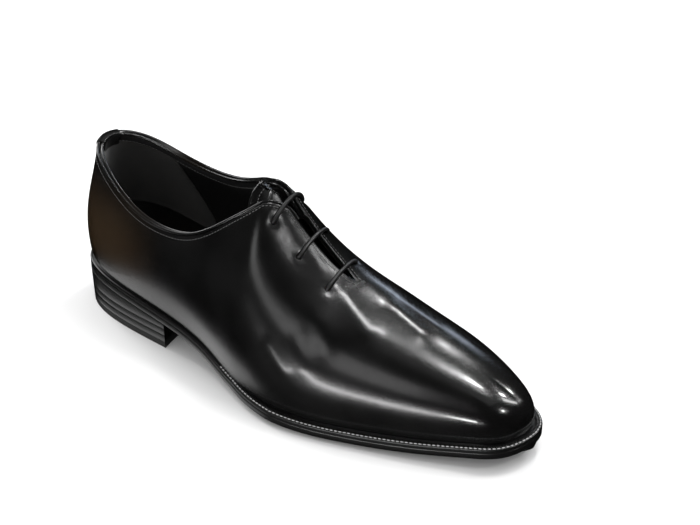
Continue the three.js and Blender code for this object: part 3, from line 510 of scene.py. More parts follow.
def side_and_share(k):
    """-1 on the outer side and 1 on the inner side, and the share of the way from heel to toe."""
    k = np.mod(k, 2.0)
    return np.where(k <= 1, -1, 1), np.where(k <= 1, k, 2 - k)


def foot(k):
    """The feather line at k: x, y and the outward direction."""
    side, q = side_and_share(k)
    u = np.where(side < 0, np.interp(q, OUTER[0], OUTER[1]), np.interp(q, INNER[0], INNER[1]))
    step = 0.02
    dx = feather_x(u + step) - feather_x(u - step)
    dy = feather_y(u + step) - feather_y(u - step)
    run = np.hypot(dx, dy)
    return feather_x(u), feather_y(u), dy / run, -dx / run


def ridge_slope(x):
    return (ridge(x + 1) - ridge(x - 1)) / 2


def drawn_section(k):
    """The four Bezier points of the cross-section at k, straight from the curves above."""
    side, q = side_and_share(k)
    fx, fy, nx, ny = foot(k)
    base_z = seat(fx)
    x = crown_x(q)
    reach = np.where(x < CROWN_CENTRE, CROWN_BACK, CROWN_FRONT)
    ring = np.maximum(1 - ((x - CROWN_CENTRE) / reach) ** 2, 0)
    half = np.where(x < RING_END, CROWN_HALF_WIDTH * np.sqrt(ring), 0)
    fade = np.clip((x - SWAY[0]) / (SWAY[1] - SWAY[0]), 0, 1)
    top_y = side * half + ridge_y(x) * fade
    top_z = np.where(x > RIDGE_START, np.minimum(ridge(x), CROWN_Z), CROWN_Z)
    height = top_z - base_z
    out = lean(fx)
    a = upper_handle(fx)
    to_x, to_y = fx - x, fy - top_y
    quarter = np.stack([x + QUARTER_REACH * to_x, top_y + QUARTER_REACH * to_y,
                        top_z - QUARTER_DROP * height], -1)
    vamp = np.stack([x + a * to_x, top_y + a * to_y, top_z + a * to_x * ridge_slope(x)], -1)
    blend = smoothstep(x, *VAMP_BLEND)[..., None]
    base = np.stack([fx, fy, base_z], -1)
    low = np.stack([fx + nx * out, fy + ny * out, base_z + lower_handle(fx) * height], -1)
    top = np.stack([x, top_y, top_z], -1)
    return base, low, quarter * (1 - blend) + vamp * blend, top


# %% Soften the sections from one to the next
# Drawn one by one, the sections turn too sharply where the quarter becomes the vamp. A blur along k, which
# moves the leather by a millimetre or two at most, gives the even run that a hide pulled over a last has.
SOFT_COLUMNS = 4000
SOFT_WIDTH = 0.030                  # of k: about 10 mm round the shoe
SOFT_REACH = 3                      # the blur ends at this many widths
SOFT_SHARE = polyline([(0.20, 0), (0.27, 1), (0.45, 1), (0.52, 0)])
SOFT_K = np.linspace(0, 2, SOFT_COLUMNS + 1)


def soft_sections():
    """All sections, with their two upper points averaged with their neighbours' round the facings."""
    reach = int(SOFT_COLUMNS / 2 * SOFT_WIDTH * SOFT_REACH)
    offsets = np.arange(-reach, reach + 1) / (SOFT_COLUMNS / 2)
    weights = np.exp(-(offsets / SOFT_WIDTH) ** 2)
    weights /= weights.sum()
    points = list(drawn_section(SOFT_K))
    share = SOFT_SHARE(side_and_share(SOFT_K)[1])[:, None]
    for i in (2, 3):
        ring = points[i][:-1]
        padded = np.concatenate([ring[-reach:], ring, ring[:reach + 1]])
        soft = np.stack([np.convolve(padded[:, j], weights, "valid") for j in range(3)], -1)
        points[i] = points[i] * (1 - share) + soft * share
    return points


SOFT = soft_sections()
moved = [np.linalg.norm(soft - drawn, axis=1).max() for soft, drawn in zip(SOFT, drawn_section(SOFT_K))]
print("the sections' points moved by up to", np.round(moved, 1), "mm")


def section(k):
    """The four Bezier points of the softened cross-section at k."""
    k = np.mod(k, 2.0)
    return [np.stack([np.interp(k, SOFT_K, p[:, j]) for j in range(3)], -1) for p in SOFT]


def bezier(points, t):
    """The place at t on each section: 0 at the sole, 1 at the top."""
    t = np.asarray(t)[..., None]
    p0, p1, p2, p3 = points
    return ((1 - t) ** 3) * p0 + 3 * t * (1 - t) ** 2 * p1 + 3 * t * t * (1 - t) * p2 + t ** 3 * p3


# %% Where the leather ends
# Each cross-section is cut off at the topline or at the slit. The cut is found once for many sections.
END_COLUMNS = 4000
END_SAMPLES = 300
END_HALVINGS = 30
FIRST_CUT = 0.35


def past(k, p):
    """How far a place lies past the leather's edge, or a number under 0 where it lies on the leather."""
    side, _ = side_and_share(k)
    topline = np.where(side < 0, TOPLINES[0](p[..., 0]), TOPLINES[1](p[..., 0]))
    over = np.where(p[..., 0] < TOPLINE_END, p[..., 2] - topline, -1)
    within = (p[..., 0] > SLIT[0]) & (p[..., 0] < SLIT[1])
    half = np.where(side < 0, slit_halves[0](p[..., 0]), slit_halves[1](p[..., 0]))
    gap = np.where(within, half - np.abs(p[..., 1] - ridge_y(p[..., 0])), -1)
    return np.maximum(over, gap)


def find_ends():
    """Where on its section the leather ends, for many k: the first place past the edge, then halvings."""
    k = np.linspace(0, 2, END_COLUMNS + 1)
    points = [p[:, None] for p in section(k)]
    t = np.linspace(FIRST_CUT, 1, END_SAMPLES)
    cut = past(k[:, None], bezier(points, np.broadcast_to(t, (len(k), len(t))))) >= 0
    first = np.where(cut.any(1), cut.argmax(1), len(t))
    low, high = t[np.clip(first - 1, 0, None)], t[np.clip(first, 0, len(t) - 1)]
    points = section(k)
    for _ in range(END_HALVINGS):
        middle = (low + high) / 2
        gone = past(k, bezier(points, middle)) >= 0
        low, high = np.where(gone, low, middle), np.where(gone, middle, high)
    return k, np.where(first == len(t), 1.0, low)


END_K, END_T = find_ends()


def end_of(k):
    """How far up its section the leather reaches at k: 1 where it runs over the ridge."""
    return np.interp(np.mod(k, 2.0), END_K, END_T)


def surface(k, r):
    """The last at k round the shoe and r up the wall: 0 at the sole, 1 at the leather's edge."""
    k, r = np.broadcast_arrays(np.asarray(k, float), np.asarray(r, float))
    return bezier(section(k), r * end_of(k))


AT_RIDGE = 0.9999                  # up the section: from here on it has reached the ridge
NORMAL_STEP = 0.0015


def wall_normal(k, t, step):
    """The direction across two short steps on the surface, round the shoe and up the section."""
    along = bezier(section(k + step), t) - bezier(section(k - step), t)
    up = bezier(section(k), np.minimum(t + step, 1)) - bezier(section(k), np.maximum(t - step, 0))
    return unit(np.cross(along, up))


def normal_at(k, r):
    """The direction straight out of the leather."""
    k, r = np.broadcast_arrays(np.asarray(k, float), np.asarray(r, float))
    t = r * end_of(k)
    slope = ridge_slope(crown_x(side_and_share(k)[1]))
    on_ridge = unit(np.stack([-slope, np.zeros_like(slope), np.ones_like(slope)], -1))
    return np.where((t >= AT_RIDGE)[..., None], on_ridge, wall_normal(k, t, NORMAL_STEP))


WALL_SAMPLES = np.linspace(0, 1, 61)
LENGTH_K = np.linspace(0, 2, 801)
WALL_LENGTH = np.linalg.norm(np.diff(surface(LENGTH_K[:, None], WALL_SAMPLES), axis=1), axis=-1).sum(1)


def wall_length(k):
    """The height of the wall at k, measured over its curve."""
    return np.interp(np.mod(k, 2.0), LENGTH_K, WALL_LENGTH)


SEARCH_STEP = 1e-4
SEARCH_ROUNDS = 40
FINE_STEP = 1e-3


def on_last(x, across):
    """The place over the instep with this x and this distance from the ridge, and its outward direction.

    The sections lean, so Newton's method looks for the k and the height whose x and y are those.
    """
    x, across = np.broadcast_arrays(np.asarray(x, float), np.asarray(across, float))
    shares = np.linspace(0, 1, 500)
    q = np.interp(x, crown_x(shares), shares)
    t = np.full(q.shape, 0.85)
    k_of = lambda share: np.where(across < 0, share, 2 - share)
    goal = np.stack([x, ridge_y(x) + across], -1)
    for _ in range(SEARCH_ROUNDS):
        here = bezier(section(k_of(q)), t)[..., :2]
        dq = (bezier(section(k_of(q + SEARCH_STEP)), t)[..., :2] - here) / SEARCH_STEP
        dt = (bezier(section(k_of(q)), t + SEARCH_STEP)[..., :2] - here) / SEARCH_STEP
        miss = goal - here
        det = dq[..., 0] * dt[..., 1] - dq[..., 1] * dt[..., 0]
        det = np.where(np.abs(det) < 1e-6, 1e-6, det)
        step_q = (miss[..., 0] * dt[..., 1] - miss[..., 1] * dt[..., 0]) / det
        step_t = (miss[..., 1] * dq[..., 0] - miss[..., 0] * dq[..., 1]) / det
        q = np.clip(q + np.clip(step_q, -0.02, 0.02), 0.2, 0.98)
        t = np.clip(t + np.clip(step_t, -0.05, 0.05), 0.2, 1)
    k = k_of(q)
    t = np.where(across == 0, 1.0, t)
    return bezier(section(k), t), wall_normal(k, t, FINE_STEP)


print("topline at the heel's back:", np.round(surface(0.0, 1.0), 1))

# %% [markdown]
# ## The finishes
# Everything is black, so the finishes differ by gloss and by what is pressed into them: polished calf with
# a waxed toe, satin lining, matt suede, burnished sole leather, rubber, braided cotton. Each is a base
# colour a little above black, a roughness that drifts, and a grain as bump at the size the real one has.

# %% Leathers
TOE_WAX = (0.108, 0.126)           # where it sets in, in metres from the shoe's middle
HEEL_WAX = (-0.12, -0.07)
GLOW_FOOT = (0.03, 0.05)           # the brown of the dye shows between these two heights
GLOW_TOP = (0.06, 0.10)
GLOW_SHARE = 0.8
GLOW_BROWN = (0.026, 0.016, 0.008, 1)


def polished_calf():
    finish = Finish("polished_calf", specular_ior_level=0.45, coat_roughness=0.04)
    x, _, z = finish.axes()
    drift = finish.noise(38, detail=2)
    fine = finish.noise(0.9, detail=2)
    pores = finish.cells(0.75)
    toe_wax = x.step(*TOE_WAX)
    heel_wax = 1 - x.step(*HEEL_WAX)
    heel_glow = heel_wax * z.step(*GLOW_FOOT) * (1 - z.step(*GLOW_TOP)) * GLOW_SHARE
    colour = finish.mix(drift.step(0.35, 0.7), grey(0.0025), grey(0.005))
    colour = finish.mix(heel_glow, colour, GLOW_BROWN)
    rough = 0.15 + drift * 0.09 + fine * 0.06 - toe_wax * 0.05
    swell = finish.bump(finish.noise(9, detail=1), 0.05)
    grain = finish.bump(pores.step(0.0, 0.35) * 0.6 + fine * 0.4, 0.022, 0.9, under=swell)
    wax = 0.06 + toe_wax * 0.6 + heel_wax * 0.15
    return finish.wear(base_color=colour, roughness=rough, coat_weight=wax, normal=grain)


def lining_calf():
    finish = Finish("lining_calf")
    drift = finish.noise(22)
    grain = finish.cells(1.1).step(0.0, 0.4)
    return finish.wear(base_color=finish.mix(drift, grey(0.003), grey(0.007)),
                       roughness=0.42 + drift * 0.16, normal=finish.bump(grain, 0.03, 0.7))


def suede():
    finish = Finish("suede", sheen_weight=0.35, sheen_roughness=0.45, specular_ior_level=0.2)
    nap = finish.noise(0.6, detail=4, rough=0.7)
    stroke = finish.noise(9, detail=2)
    return finish.wear(base_color=finish.mix(stroke, grey(0.006), grey(0.013, 0.1)),
                       roughness=0.9 + nap * 0.1, normal=finish.bump(nap, 0.15))


def sole_edge():
    """Burnished leather: layers pressed together, inked and waxed."""
    finish = Finish("burnished_sole_leather", coat_weight=0.25, coat_roughness=0.2)
    layers = finish.noise(6, detail=4, rough=0.65, stretch=(0.25, 0.25, 6))
    drift = finish.noise(24)
    return finish.wear(base_color=finish.mix(layers, grey(0.0025), grey(0.005)),
                       roughness=0.30 + drift * 0.12 + layers * 0.06,
                       normal=finish.bump(layers, 0.02, 0.6))


def heel_rubber():
    finish = Finish("heel_rubber")
    speck = finish.noise(0.7, detail=3, rough=0.7)
    return finish.wear(base_color=finish.mix(speck, grey(0.009), grey(0.017)),
                       roughness=0.55 + speck * 0.15, normal=finish.bump(speck, 0.04, 0.7))


# %% Cord, thread and film
def braided_cord(name, strand, low, high, gloss, depth):
    """Strands that cross over and under each other in a spiral, waxed."""
    finish = Finish(name)
    along, around = finish.length_and_round()
    advance, lap = along * (math.tau / strand), around * math.tau * 2
    first, second = (advance + lap).sin(), (advance - lap).sin()
    weave = (first * second) * 0.5 + 0.5
    fibre = finish.noise(0.25, detail=3)
    height = weave * 0.8 + fibre * 0.2
    return finish.wear(base_color=finish.mix(height, low, high), roughness=gloss + fibre * 0.15,
                       normal=finish.bump(height, depth))


def plain_thread(name, low, high, gloss):
    finish = Finish(name)
    twist = finish.noise(0.5, detail=2)
    return finish.wear(base_color=finish.mix(twist, low, high), roughness=gloss + twist * 0.1,
                       normal=finish.bump(twist, 0.04))


def aglet_film():
    finish = Finish("aglet_film")
    wrap = finish.noise(1.4, detail=1)
    return finish.wear(base_color=finish.mix(wrap, grey(0.008), grey(0.014)), roughness=0.22 + wrap * 0.1,
                       normal=finish.bump(wrap, 0.05))


# %% What lies inside
def board():
    """Vegetable tanned leather board, which stiffens the shoe from inside."""
    finish = Finish("leather_board")
    fibre = finish.noise(1.5, detail=4, rough=0.7)
    return finish.wear(base_color=finish.mix(fibre, (0.30, 0.17, 0.09, 1), (0.52, 0.34, 0.2, 1)),
                       roughness=0.75 + fibre * 0.2, normal=finish.bump(fibre, 0.1))


def ground_cork():
    finish = Finish("ground_cork")
    crumbs = finish.cells(3, "F1")
    return finish.wear(base_color=finish.mix(crumbs, (0.20, 0.11, 0.05, 1), (0.5, 0.33, 0.18, 1)),
                       roughness=0.85 + crumbs * 0.1, normal=finish.bump(crumbs, 0.3))


def metal(name, low, high, gloss):
    finish = Finish(name, metallic=1.0)
    brushed = finish.noise(2, detail=3, stretch=(0.2, 4, 4))
    return finish.wear(base_color=finish.mix(brushed, low, high), roughness=gloss + brushed * 0.15,
                       normal=finish.bump(brushed, 0.02))


CALF = polished_calf()
LINING = lining_calf()
SUEDE = suede()
SOLE = sole_edge()
RUBBER = heel_rubber()
LACE = braided_cord("waxed_lace_braid", 1.7, grey(0.003), grey(0.012), 0.3, 0.14)
THREAD = plain_thread("black_thread", grey(0.035), grey(0.09), 0.25)
# The welt's thread is mid-grey, far lighter than the black thread of the upper. That is partly its own
# colour and partly a painted glint, which stands in for the light its stitches catch.
WELT_THREAD_PAINTED_GLINT = plain_thread("welt_thread_painted_glint", grey(0.26), grey(0.5), 0.3)
FILM = aglet_film()
BOARD = board()
CORK = ground_cork()
STEEL = metal("shank_steel_brushed", grey(0.42), grey(0.55), 0.3)
BRASS = metal("brass_worn", (0.46, 0.33, 0.13, 1), (0.66, 0.5, 0.24, 1), 0.28)
print("finishes:", len(bpy.data.materials))

# %% The tucked lace ends and the nodes that stay
for side, cord in cords.items():
    finish_piece(cord, LACE, replaces=[f"lace_end_{side}"])

KEPT_NODES = (
    (BOARD, ["heel_counter", "toe_puff", "insole", "insole_rib"]),
    (LINING, ["lining_vamp", "facing_stay_outer", "facing_stay_inner"]),
    (CORK, ["cork_filler"]),
    (STEEL, ["shank"]),
    (BRASS, [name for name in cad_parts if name.startswith("heel_nail")]),
    (FILM, ["aglet_outer", "aglet_inner"]),
)
for material, names in KEPT_NODES:
    for name in names:
        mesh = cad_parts[name].data
        mesh.materials.clear()
        mesh.materials.append(material)
    print(material.name, "on", names)

# %% [markdown]
# ## The upper
# One hide makes the whole upper. Here it is a closed shell: a fine grid of the last's surface outside, the
# same grid one leather thickness inside, a rounded edge between them along the topline and the slit, and
# the lasting margin turned in at the bottom. Pulling the outer grid in or out by a small relief gives the
# dimples at the laced holes, the sunk line of each seam and the soft pads that lacing and lasting leave in
# a vamp. Polished black shows them as bent lights.

# %% Columns round the shoe
SIDE_COLUMNS = 236
COLUMN_DENSITY = polyline([(0, 6), (0.01, 5), (0.04, 1.1), (0.42, 1.1), (0.44, 2.2), (0.50, 2.2),
                           (0.53, 1.1), (1, 1.1)])


def column_shares():
    q = np.linspace(0, 1, 4001)
    total = np.concatenate([[0], np.cumsum((COLUMN_DENSITY(q[1:]) + COLUMN_DENSITY(q[:-1])) / 2)])
    return np.interp(np.linspace(0, total[-1], SIDE_COLUMNS + 1), total, q)


Q = column_shares()
K = np.concatenate([Q, 2 - Q[-2:0:-1]])
print(len(K), "columns round the shoe")

# %% Relief of the leather's outside
EYELET_X = np.array([144, 161, 180])
EYELET_OFFSET = 17
FAR_OFFSET = 13                    # the inner row lies nearer the slit, and a little further back
FAR_BACK = 2.5
HOLE_DIAMETER = 3.3
HOLES = [on_last(EYELET_X, -EYELET_OFFSET), on_last(EYELET_X - FAR_BACK, FAR_OFFSET)]
HOLE_POINTS = np.concatenate([h[0] for h in HOLES])
HOLE_NORMALS = np.concatenate([h[1] for h in HOLES])
SEAM_INSET = 2.4                   # from the leather's edge to the seam beside it
SEAM_SINK = 0.16
SEAM_SPREAD = 0.55
DIMPLE_DEPTH = 0.75
DIMPLE_WIDTH = 3.1
NO_EDGE = 99.0                     # stands for a distance to the edge where there is none
PADS = [                           # soft swellings of the vamp: two ends, width and height
    ((188, -9, 67), (209, -18, 57), 6.0, 0.75),
    ((213, 4, 61), (232, 0, 54), 6.0, 0.7),
    ((214, 15, 59.5), (234, 13, 53), 4.0, 0.30),
    ((187, -30, 59), (195, -37, 50), 6.5, 0.6),
    ((181, -41, 52), (188, -47, 41), 6.0, 0.55),
    ((166, -49, 47), (177, -51, 36), 4.0, 0.45),
    ((151, -8, 97), (154, -10, 93), 3.5, 0.25),
    ((167, -7, 82), (171, -9, 78), 3.5, 0.25),
]


def relief(points, from_edge):
    """How far the leather's outside stands off the last's surface."""
    total = np.zeros(points.shape[:-1])
    for hole in HOLE_POINTS:
        distance = np.linalg.norm(points - hole, axis=-1)
        total -= DIMPLE_DEPTH * np.exp(-(distance / DIMPLE_WIDTH) ** 2)
    total -= SEAM_SINK * np.exp(-((from_edge - SEAM_INSET) / SEAM_SPREAD) ** 2)
    for start, end, width, height in PADS:
        start, end = np.array(start, float), np.array(end, float)
        run = end - start
        share = np.clip(((points - start) @ run) / (run @ run), 0, 1)
        off = np.linalg.norm(points - start - share[..., None] * run, axis=-1)
        total += height * np.exp(-(off / width) ** 2)
    return total


def edge_distance(k, r):
    """From a place on the wall to the leather's cut edge."""
    return np.where(end_of(k) < AT_RIDGE, (1 - r) * wall_length(k), NO_EDGE)


def skin_point(k, r, lift=0.0):
    """On the leather's outside, lifted off it by some mm."""
    k, r = np.broadcast_arrays(np.asarray(k, float), np.asarray(r, float))
    points, normals = surface(k, r), normal_at(k, r)
    height = relief(points, edge_distance(k, r)) + lift
    return points + normals * height[..., None], normals


# %% The shell
UPPER_THICKNESS = 1.3
GAP_TO_WELT = 0.3
LASTING_MARGIN = 9
OUTER_ROWS = 76
INNER_ROWS = 34
RIM_ROWS = 4
EDGE_ROUND = 0.5
CORNER_RUN = 12                    # behind this the slit opens out into the facing's corner
SLIT_SHARE = 0.4                   # the most of the slit's half width that an edge may bulge into
RIM_MERGE = 0.02 * MM


def margin_rows(k, offsets, height):
    """Rows of the margin turned in under the foot: how far in from the outline each one lies."""
    fx, fy, nx, ny = foot(k)
    rows = []
    for offset in offsets:
        x, y = fx - nx * offset, fy - ny * offset
        rows.append(np.stack([x, y, seat(x) + height], -1))
    return np.stack(rows, 1)


def upper_shell():
    k = K[:, None]
    outside, normals = skin_point(k, np.linspace(0, 1, OUTER_ROWS + 1)[None, :])
    outside = outside.copy()
    outside[:, 0, 2] += GAP_TO_WELT
    r_in = np.linspace(1, 0, INNER_ROWS + 1)[None, :]
    inside = surface(k, r_in) - normal_at(k, r_in) * UPPER_THICKNESS
    inside[:, -1, 2] += GAP_TO_WELT + UPPER_THICKNESS
    open_edge = end_of(K) < AT_RIDGE
    edge, normal = outside[:, -1], normals[:, -1]
    beyond = unit(edge - outside[:, -2])
    edge_x = surface(K, 1.0)[:, 0]
    half_gap = np.where(edge_x > SLIT[0] + CORNER_RUN, slit_halves[0](edge_x) * SLIT_SHARE, EDGE_ROUND)
    bulge = np.where(open_edge, np.minimum(EDGE_ROUND, half_gap), 0)
    angle = np.linspace(0, np.pi, RIM_ROWS + 2)[1:-1]
    thickness = np.linalg.norm(edge - inside[:, 0], axis=1)
    inwards = normal[:, None] * (thickness[:, None, None] / 2) * (1 - np.cos(angle))[None, :, None]
    outwards = beyond[:, None] * bulge[:, None, None] * np.sin(angle)[None, :, None]
    rim = edge[:, None] - inwards + outwards
    under = margin_rows(K, (LASTING_MARGIN, 4, 1), GAP_TO_WELT)
    over = margin_rows(K, (UPPER_THICKNESS + 1, 5, LASTING_MARGIN), GAP_TO_WELT + UPPER_THICKNESS)
    rings = np.concatenate([under, outside, rim, inside, over], 1)
    lines, count = rings.shape[:2]
    faces = grid_faces(lines, count, around=True, closed=True).reshape(lines, count, 4)
    first_rim = under.shape[1] + OUTER_ROWS
    shut = ~open_edge & ~np.roll(open_edge, -1)
    keep = np.ones((lines, count), bool)
    keep[np.ix_(shut, range(first_rim, first_rim + RIM_ROWS + 1))] = False
    return make_piece("upper_leather", rings.reshape(-1, 3), faces[keep], merge=RIM_MERGE)


def cylinder_mesh(name, starts, ends, radius, sides=20):
    """Closed rods, for cutting holes."""
    points, faces = [], []
    for line in zip(starts, ends):
        _, u, v = frames_along(np.stack(line))
        base = len(points)
        for centre in line:
            points.extend(centre + radius * (np.cos(a) * u[0] + np.sin(a) * v[0]) for a in full_turn(sides))
        faces.extend(tuple(f) for f in grid_faces(2, sides, closed=True, start=base))
        faces.append(tuple(base + i for i in range(sides)))
        faces.append(tuple(base + sides + i for i in range(sides)))
    return make_piece(name, np.array(points), faces)


def cut_holes(piece, cutter):
    modifier = piece.modifiers.new("holes", "BOOLEAN")
    modifier.operation = "DIFFERENCE"
    modifier.solver = "EXACT"
    modifier.object = cutter
    mesh = settled_mesh(piece)
    piece.modifiers.clear()
    piece.data = mesh
    shade(mesh, SHARP)


def settled_mesh(piece):
    """The piece's mesh with its modifiers worked out."""
    graph = bpy.context.evaluated_depsgraph_get()
    return bpy.data.meshes.new_from_object(piece.evaluated_get(graph))


# %% The blind eyelets and the punched holes
EYELET_DEPTHS = (1.35, 2.75)
EYELET_FLANGE = 1.5
EYELET_SIDES = 24
EYELET_RADII = (HOLE_DIAMETER / 2, HOLE_DIAMETER / 2 + EYELET_FLANGE)
PUNCH_ABOVE = 3
PUNCH_BELOW = 4.6


def eyelet_rings():
    """Six flat rings, which lie out of sight between the leather and its lining."""
    points, faces = [], []
    corners = list(zip(EYELET_RADII + EYELET_RADII[::-1], np.repeat(EYELET_DEPTHS, 2)))
    angle = full_turn(EYELET_SIDES)
    for centre, normal in zip(HOLE_POINTS, HOLE_NORMALS):
        _, u, v = frames_along(np.stack([centre, centre - normal]))
        round_it = np.cos(angle)[:, None] * u[0] + np.sin(angle)[:, None] * v[0]
        start = len(points)
        points.extend(np.concatenate([centre - normal * d + round_it * r for r, d in corners]))
        faces.extend(tuple(f) for f in grid_faces(4, EYELET_SIDES, around=True, closed=True, start=start))
    return make_piece("blind_eyelet_rings", np.array(points), faces)


finish_piece(eyelet_rings(), BRASS,
             replaces=[f"blind_eyelet_{side}_{i}" for side in ("outer", "inner") for i in (1, 2, 3)])

punch = cylinder_mesh("punch", HOLE_POINTS + HOLE_NORMALS * PUNCH_ABOVE,
                      HOLE_POINTS - HOLE_NORMALS * PUNCH_BELOW, HOLE_DIAMETER / 2)
upper = upper_shell()
cut_holes(upper, punch)
finish_piece(upper, CALF, replaces=["upper_wholecut"])

# %% [markdown]
# ## The linings, the heel grip and the sock
# A layer of the wall is two skins of the same grid at two depths, joined round its border, so the quarter
# linings and the suede heel grip come from one function. The grip's front edge leans: it is a patch that
# narrows towards the topline.

# %% Layers of the wall
LINING_DEPTH = 2.8
LINING_THICKNESS = 0.8
GRIP_DEPTH = 3.9
GRIP_THICKNESS = 0.7


def wall_layer(name, k, r, depth, thickness, puff=None):
    """A closed layer: k and r are grids of places, depth is measured in from the last's surface."""
    points, normals = surface(k, r), normal_at(k, r)
    near = points - normals * depth
    far = points - normals * (depth + thickness)
    if puff is not None:
        far = far - normals * puff[..., None]
    return two_skins(name, near, far)


def two_skins(name, near, far):
    """Two grids of the same size joined round their borders."""
    lines, count = near.shape[:2]
    total = lines * count
    faces = [tuple(f) for f in grid_faces(lines, count)]
    faces += [tuple(int(i) + total for i in f[::-1]) for f in grid_faces(lines, count)]
    border = ([(i * count, (i + 1) * count) for i in range(lines - 1)]
              + [((i + 1) * count - 1, (i + 2) * count - 1) for i in range(lines - 1)]
              + [(j, j + 1) for j in range(count - 1)]
              + [(total - count + j, total - count + j + 1) for j in range(count - 1)])
    faces += [(a, b, b + total, a + total) for a, b in border]
    return make_piece(name, np.concatenate([near.reshape(-1, 3), far.reshape(-1, 3)]), faces)


def q_of_x(x):
    """The share of the way from heel to toe at which the section's crown lies at x."""
    shares = np.linspace(0, 1, 2000)
    return float(np.interp(x, crown_x(shares), shares))


VAMP_SPLIT = (q_of_x(202) + q_of_x(212)) / 2
HEEL_SEAM = 0.002
UNDER_BINDING = 0.7                # how far the lining reaches past the leather's edge there
UNDER_FACING = -0.3
LINING_ROWS = 31


def quarter_lining(name, side):
    q = Q[(Q > HEEL_SEAM) & (Q < VAMP_SPLIT)]
    k = (q if side < 0 else 2 - q)[:, None]
    low = (GAP_TO_WELT * 2 + UPPER_THICKNESS) / wall_length(k)
    above = np.where(surface(k, 1.0)[..., 0] < SLIT[0], UNDER_BINDING, UNDER_FACING)
    high = 1 + above / wall_length(k)
    r = low + (high - low) * np.linspace(0, 1, LINING_ROWS)[None, :]
    return wall_layer(name, np.broadcast_to(k, r.shape), r, LINING_DEPTH, LINING_THICKNESS)


for side, name in ((-1, "outer"), (1, "inner")):
    lining = quarter_lining(f"quarter_lining_{name}_side", side)
    cut_holes(lining, punch)
    finish_piece(lining, LINING, replaces=[f"lining_quarter_{name}"])
bpy.data.objects.remove(punch)

GRIP_FRONT = q_of_x(70)
GRIP_NARROWING = 0.36
GRIP_FOOT = 0.25                   # up the wall
GRIP_TOP = 0.955
GRIP_PARED = 0.35                  # how much thinner the suede is at its border


def heel_grip():
    rise = np.linspace(0, 1, 29)[None, :]
    r = GRIP_FOOT + (GRIP_TOP - GRIP_FOOT) * rise
    lean_in = 1 - GRIP_NARROWING * rise
    even = np.linspace(-1, 1, 81)
    share = np.sign(even) * np.abs(even) ** 1.5
    k = GRIP_FRONT * share[:, None] * lean_in
    border = np.minimum(1 - np.abs(share)[:, None], np.minimum(rise, 1 - rise) * 2)
    puff = -GRIP_PARED * np.exp(-(border / 0.03) ** 2)
    return wall_layer("suede_heel_grip", k, np.broadcast_to(r, k.shape), GRIP_DEPTH, GRIP_THICKNESS, puff)


finish_piece(heel_grip(), SUEDE, replaces=["heel_grip"])

# %% [markdown]
# ## The sole, from the feet up
# Sock, welt, outsole and heel all follow one outline, moved in or out, as the imported insole does. Each is
# a stack of cross-sections from heel to toe: the two edges, with their rounding, and a few points across
# between them.

# %% Plates that follow the outline
WELT_FOREFOOT = 5.3
WELT_WAIST = 1.5
WELT_HEEL = 1.8
WELT_THICKNESS = 2.4
OUTSOLE_THICKNESS = 3.8
BREAST_X = 78
welt_width = polyline([(0, WELT_HEEL), (76, WELT_HEEL), (104, WELT_WAIST), (140, WELT_WAIST),
                       (171, WELT_FOREFOOT), (300, WELT_FOREFOOT)])
HALF_SHARES = np.linspace(0, 1, 61) ** 1.6 * 0.5           # closer together at the heel and the toe
PLATE_SHARES = np.concatenate([HALF_SHARES[:-1], 1 - HALF_SHARES[::-1]])
# The same for a plate that is cut off across
CUT_SHARES = np.concatenate([np.linspace(0, 1, 40)[:-1] ** 1.8 * 0.93, [1.0]])
BULGE_RUN = 0.3                    # the share of the width over which a full bottom rises to its edge


def rim(k, offset):
    """The outline at k moved out by a number or by a function of x."""
    fx, fy, nx, ny = foot(k)
    out = offset(fx) if callable(offset) else offset
    return fx + nx * out, fy + ny * out


def share_at_x(side, offset, x):
    """The share of the way to the toe at which the moved outline reaches x."""
    q = np.linspace(0, 1, 3000)
    return float(np.interp(x, rim(q if side < 0 else 2 - q, offset)[0][q < 0.8], q[q < 0.8]))


def plate(name, levels, across, bulge=None, to_x=None, hollow=0.0):
    """A closed plate. levels runs from the bottom's edge to the top's: how far out each is, its height.

    With to_x the plate is cut off there, square or hollowed, and otherwise it runs to the toe.
    """
    shares = [PLATE_SHARES, PLATE_SHARES]
    if to_x is not None:
        shares = [CUT_SHARES * share_at_x(side, levels[-1][0], to_x) for side in (-1, 1)]
    edges = []
    for side, q in zip((-1, 1), shares):
        stack = []
        for out, height in levels:
            x, y = rim(q if side < 0 else 2 - q, out)
            if to_x is not None:
                x[-1] = to_x
            stack.append(np.stack([x, y, height(x)], -1))
        edges.append(np.stack(stack, 1))
    left, right = edges
    v = np.asarray(across, float)[None, :, None]
    top = left[:, -1:] * (1 - v) + right[:, -1:] * v
    bottom = left[:, :1] * (1 - v) + right[:, :1] * v
    top[..., 2] = levels[-1][1](top[..., 0])
    bottom[..., 2] = levels[0][1](bottom[..., 0])
    if bulge is not None:
        drop = bulge(bottom[..., 0]) * smoothstep(np.minimum(v, 1 - v)[..., 0], 0, BULGE_RUN)
        bottom[..., 2] = np.maximum(bottom[..., 2] - drop, 0)
    if hollow:
        inward = hollow * (1 - (2 * v[0, :, 0] - 1) ** 2)
        top[-1, :, 0] -= inward
        bottom[-1, :, 0] -= inward
    rings = np.concatenate([left, top, right[:, ::-1], bottom[:, ::-1]], 1)
    lines, count = rings.shape[:2]
    faces = [tuple(f) for f in grid_faces(lines, count, closed=True)]
    if to_x is not None:
        base = (lines - 1) * count
        up, wide = len(levels), len(across)
        upper_line = [up - 1] + [up + j for j in range(wide)] + [up + wide]
        lower_line = [0] + [count - 1 - j for j in range(wide)] + [2 * up + wide - 1]
        for j in range(wide + 1):
            face = [lower_line[j], lower_line[j + 1], upper_line[j + 1], upper_line[j]]
            if j == 0:
                face += list(range(up - 2, 0, -1))
            if j == wide:
                face = face[:2] + list(range(2 * up + wide - 2, up + wide, -1)) + face[2:]
            faces.append(tuple(base + i for i in face))
    return make_piece(name, rings.reshape(-1, 3), faces)


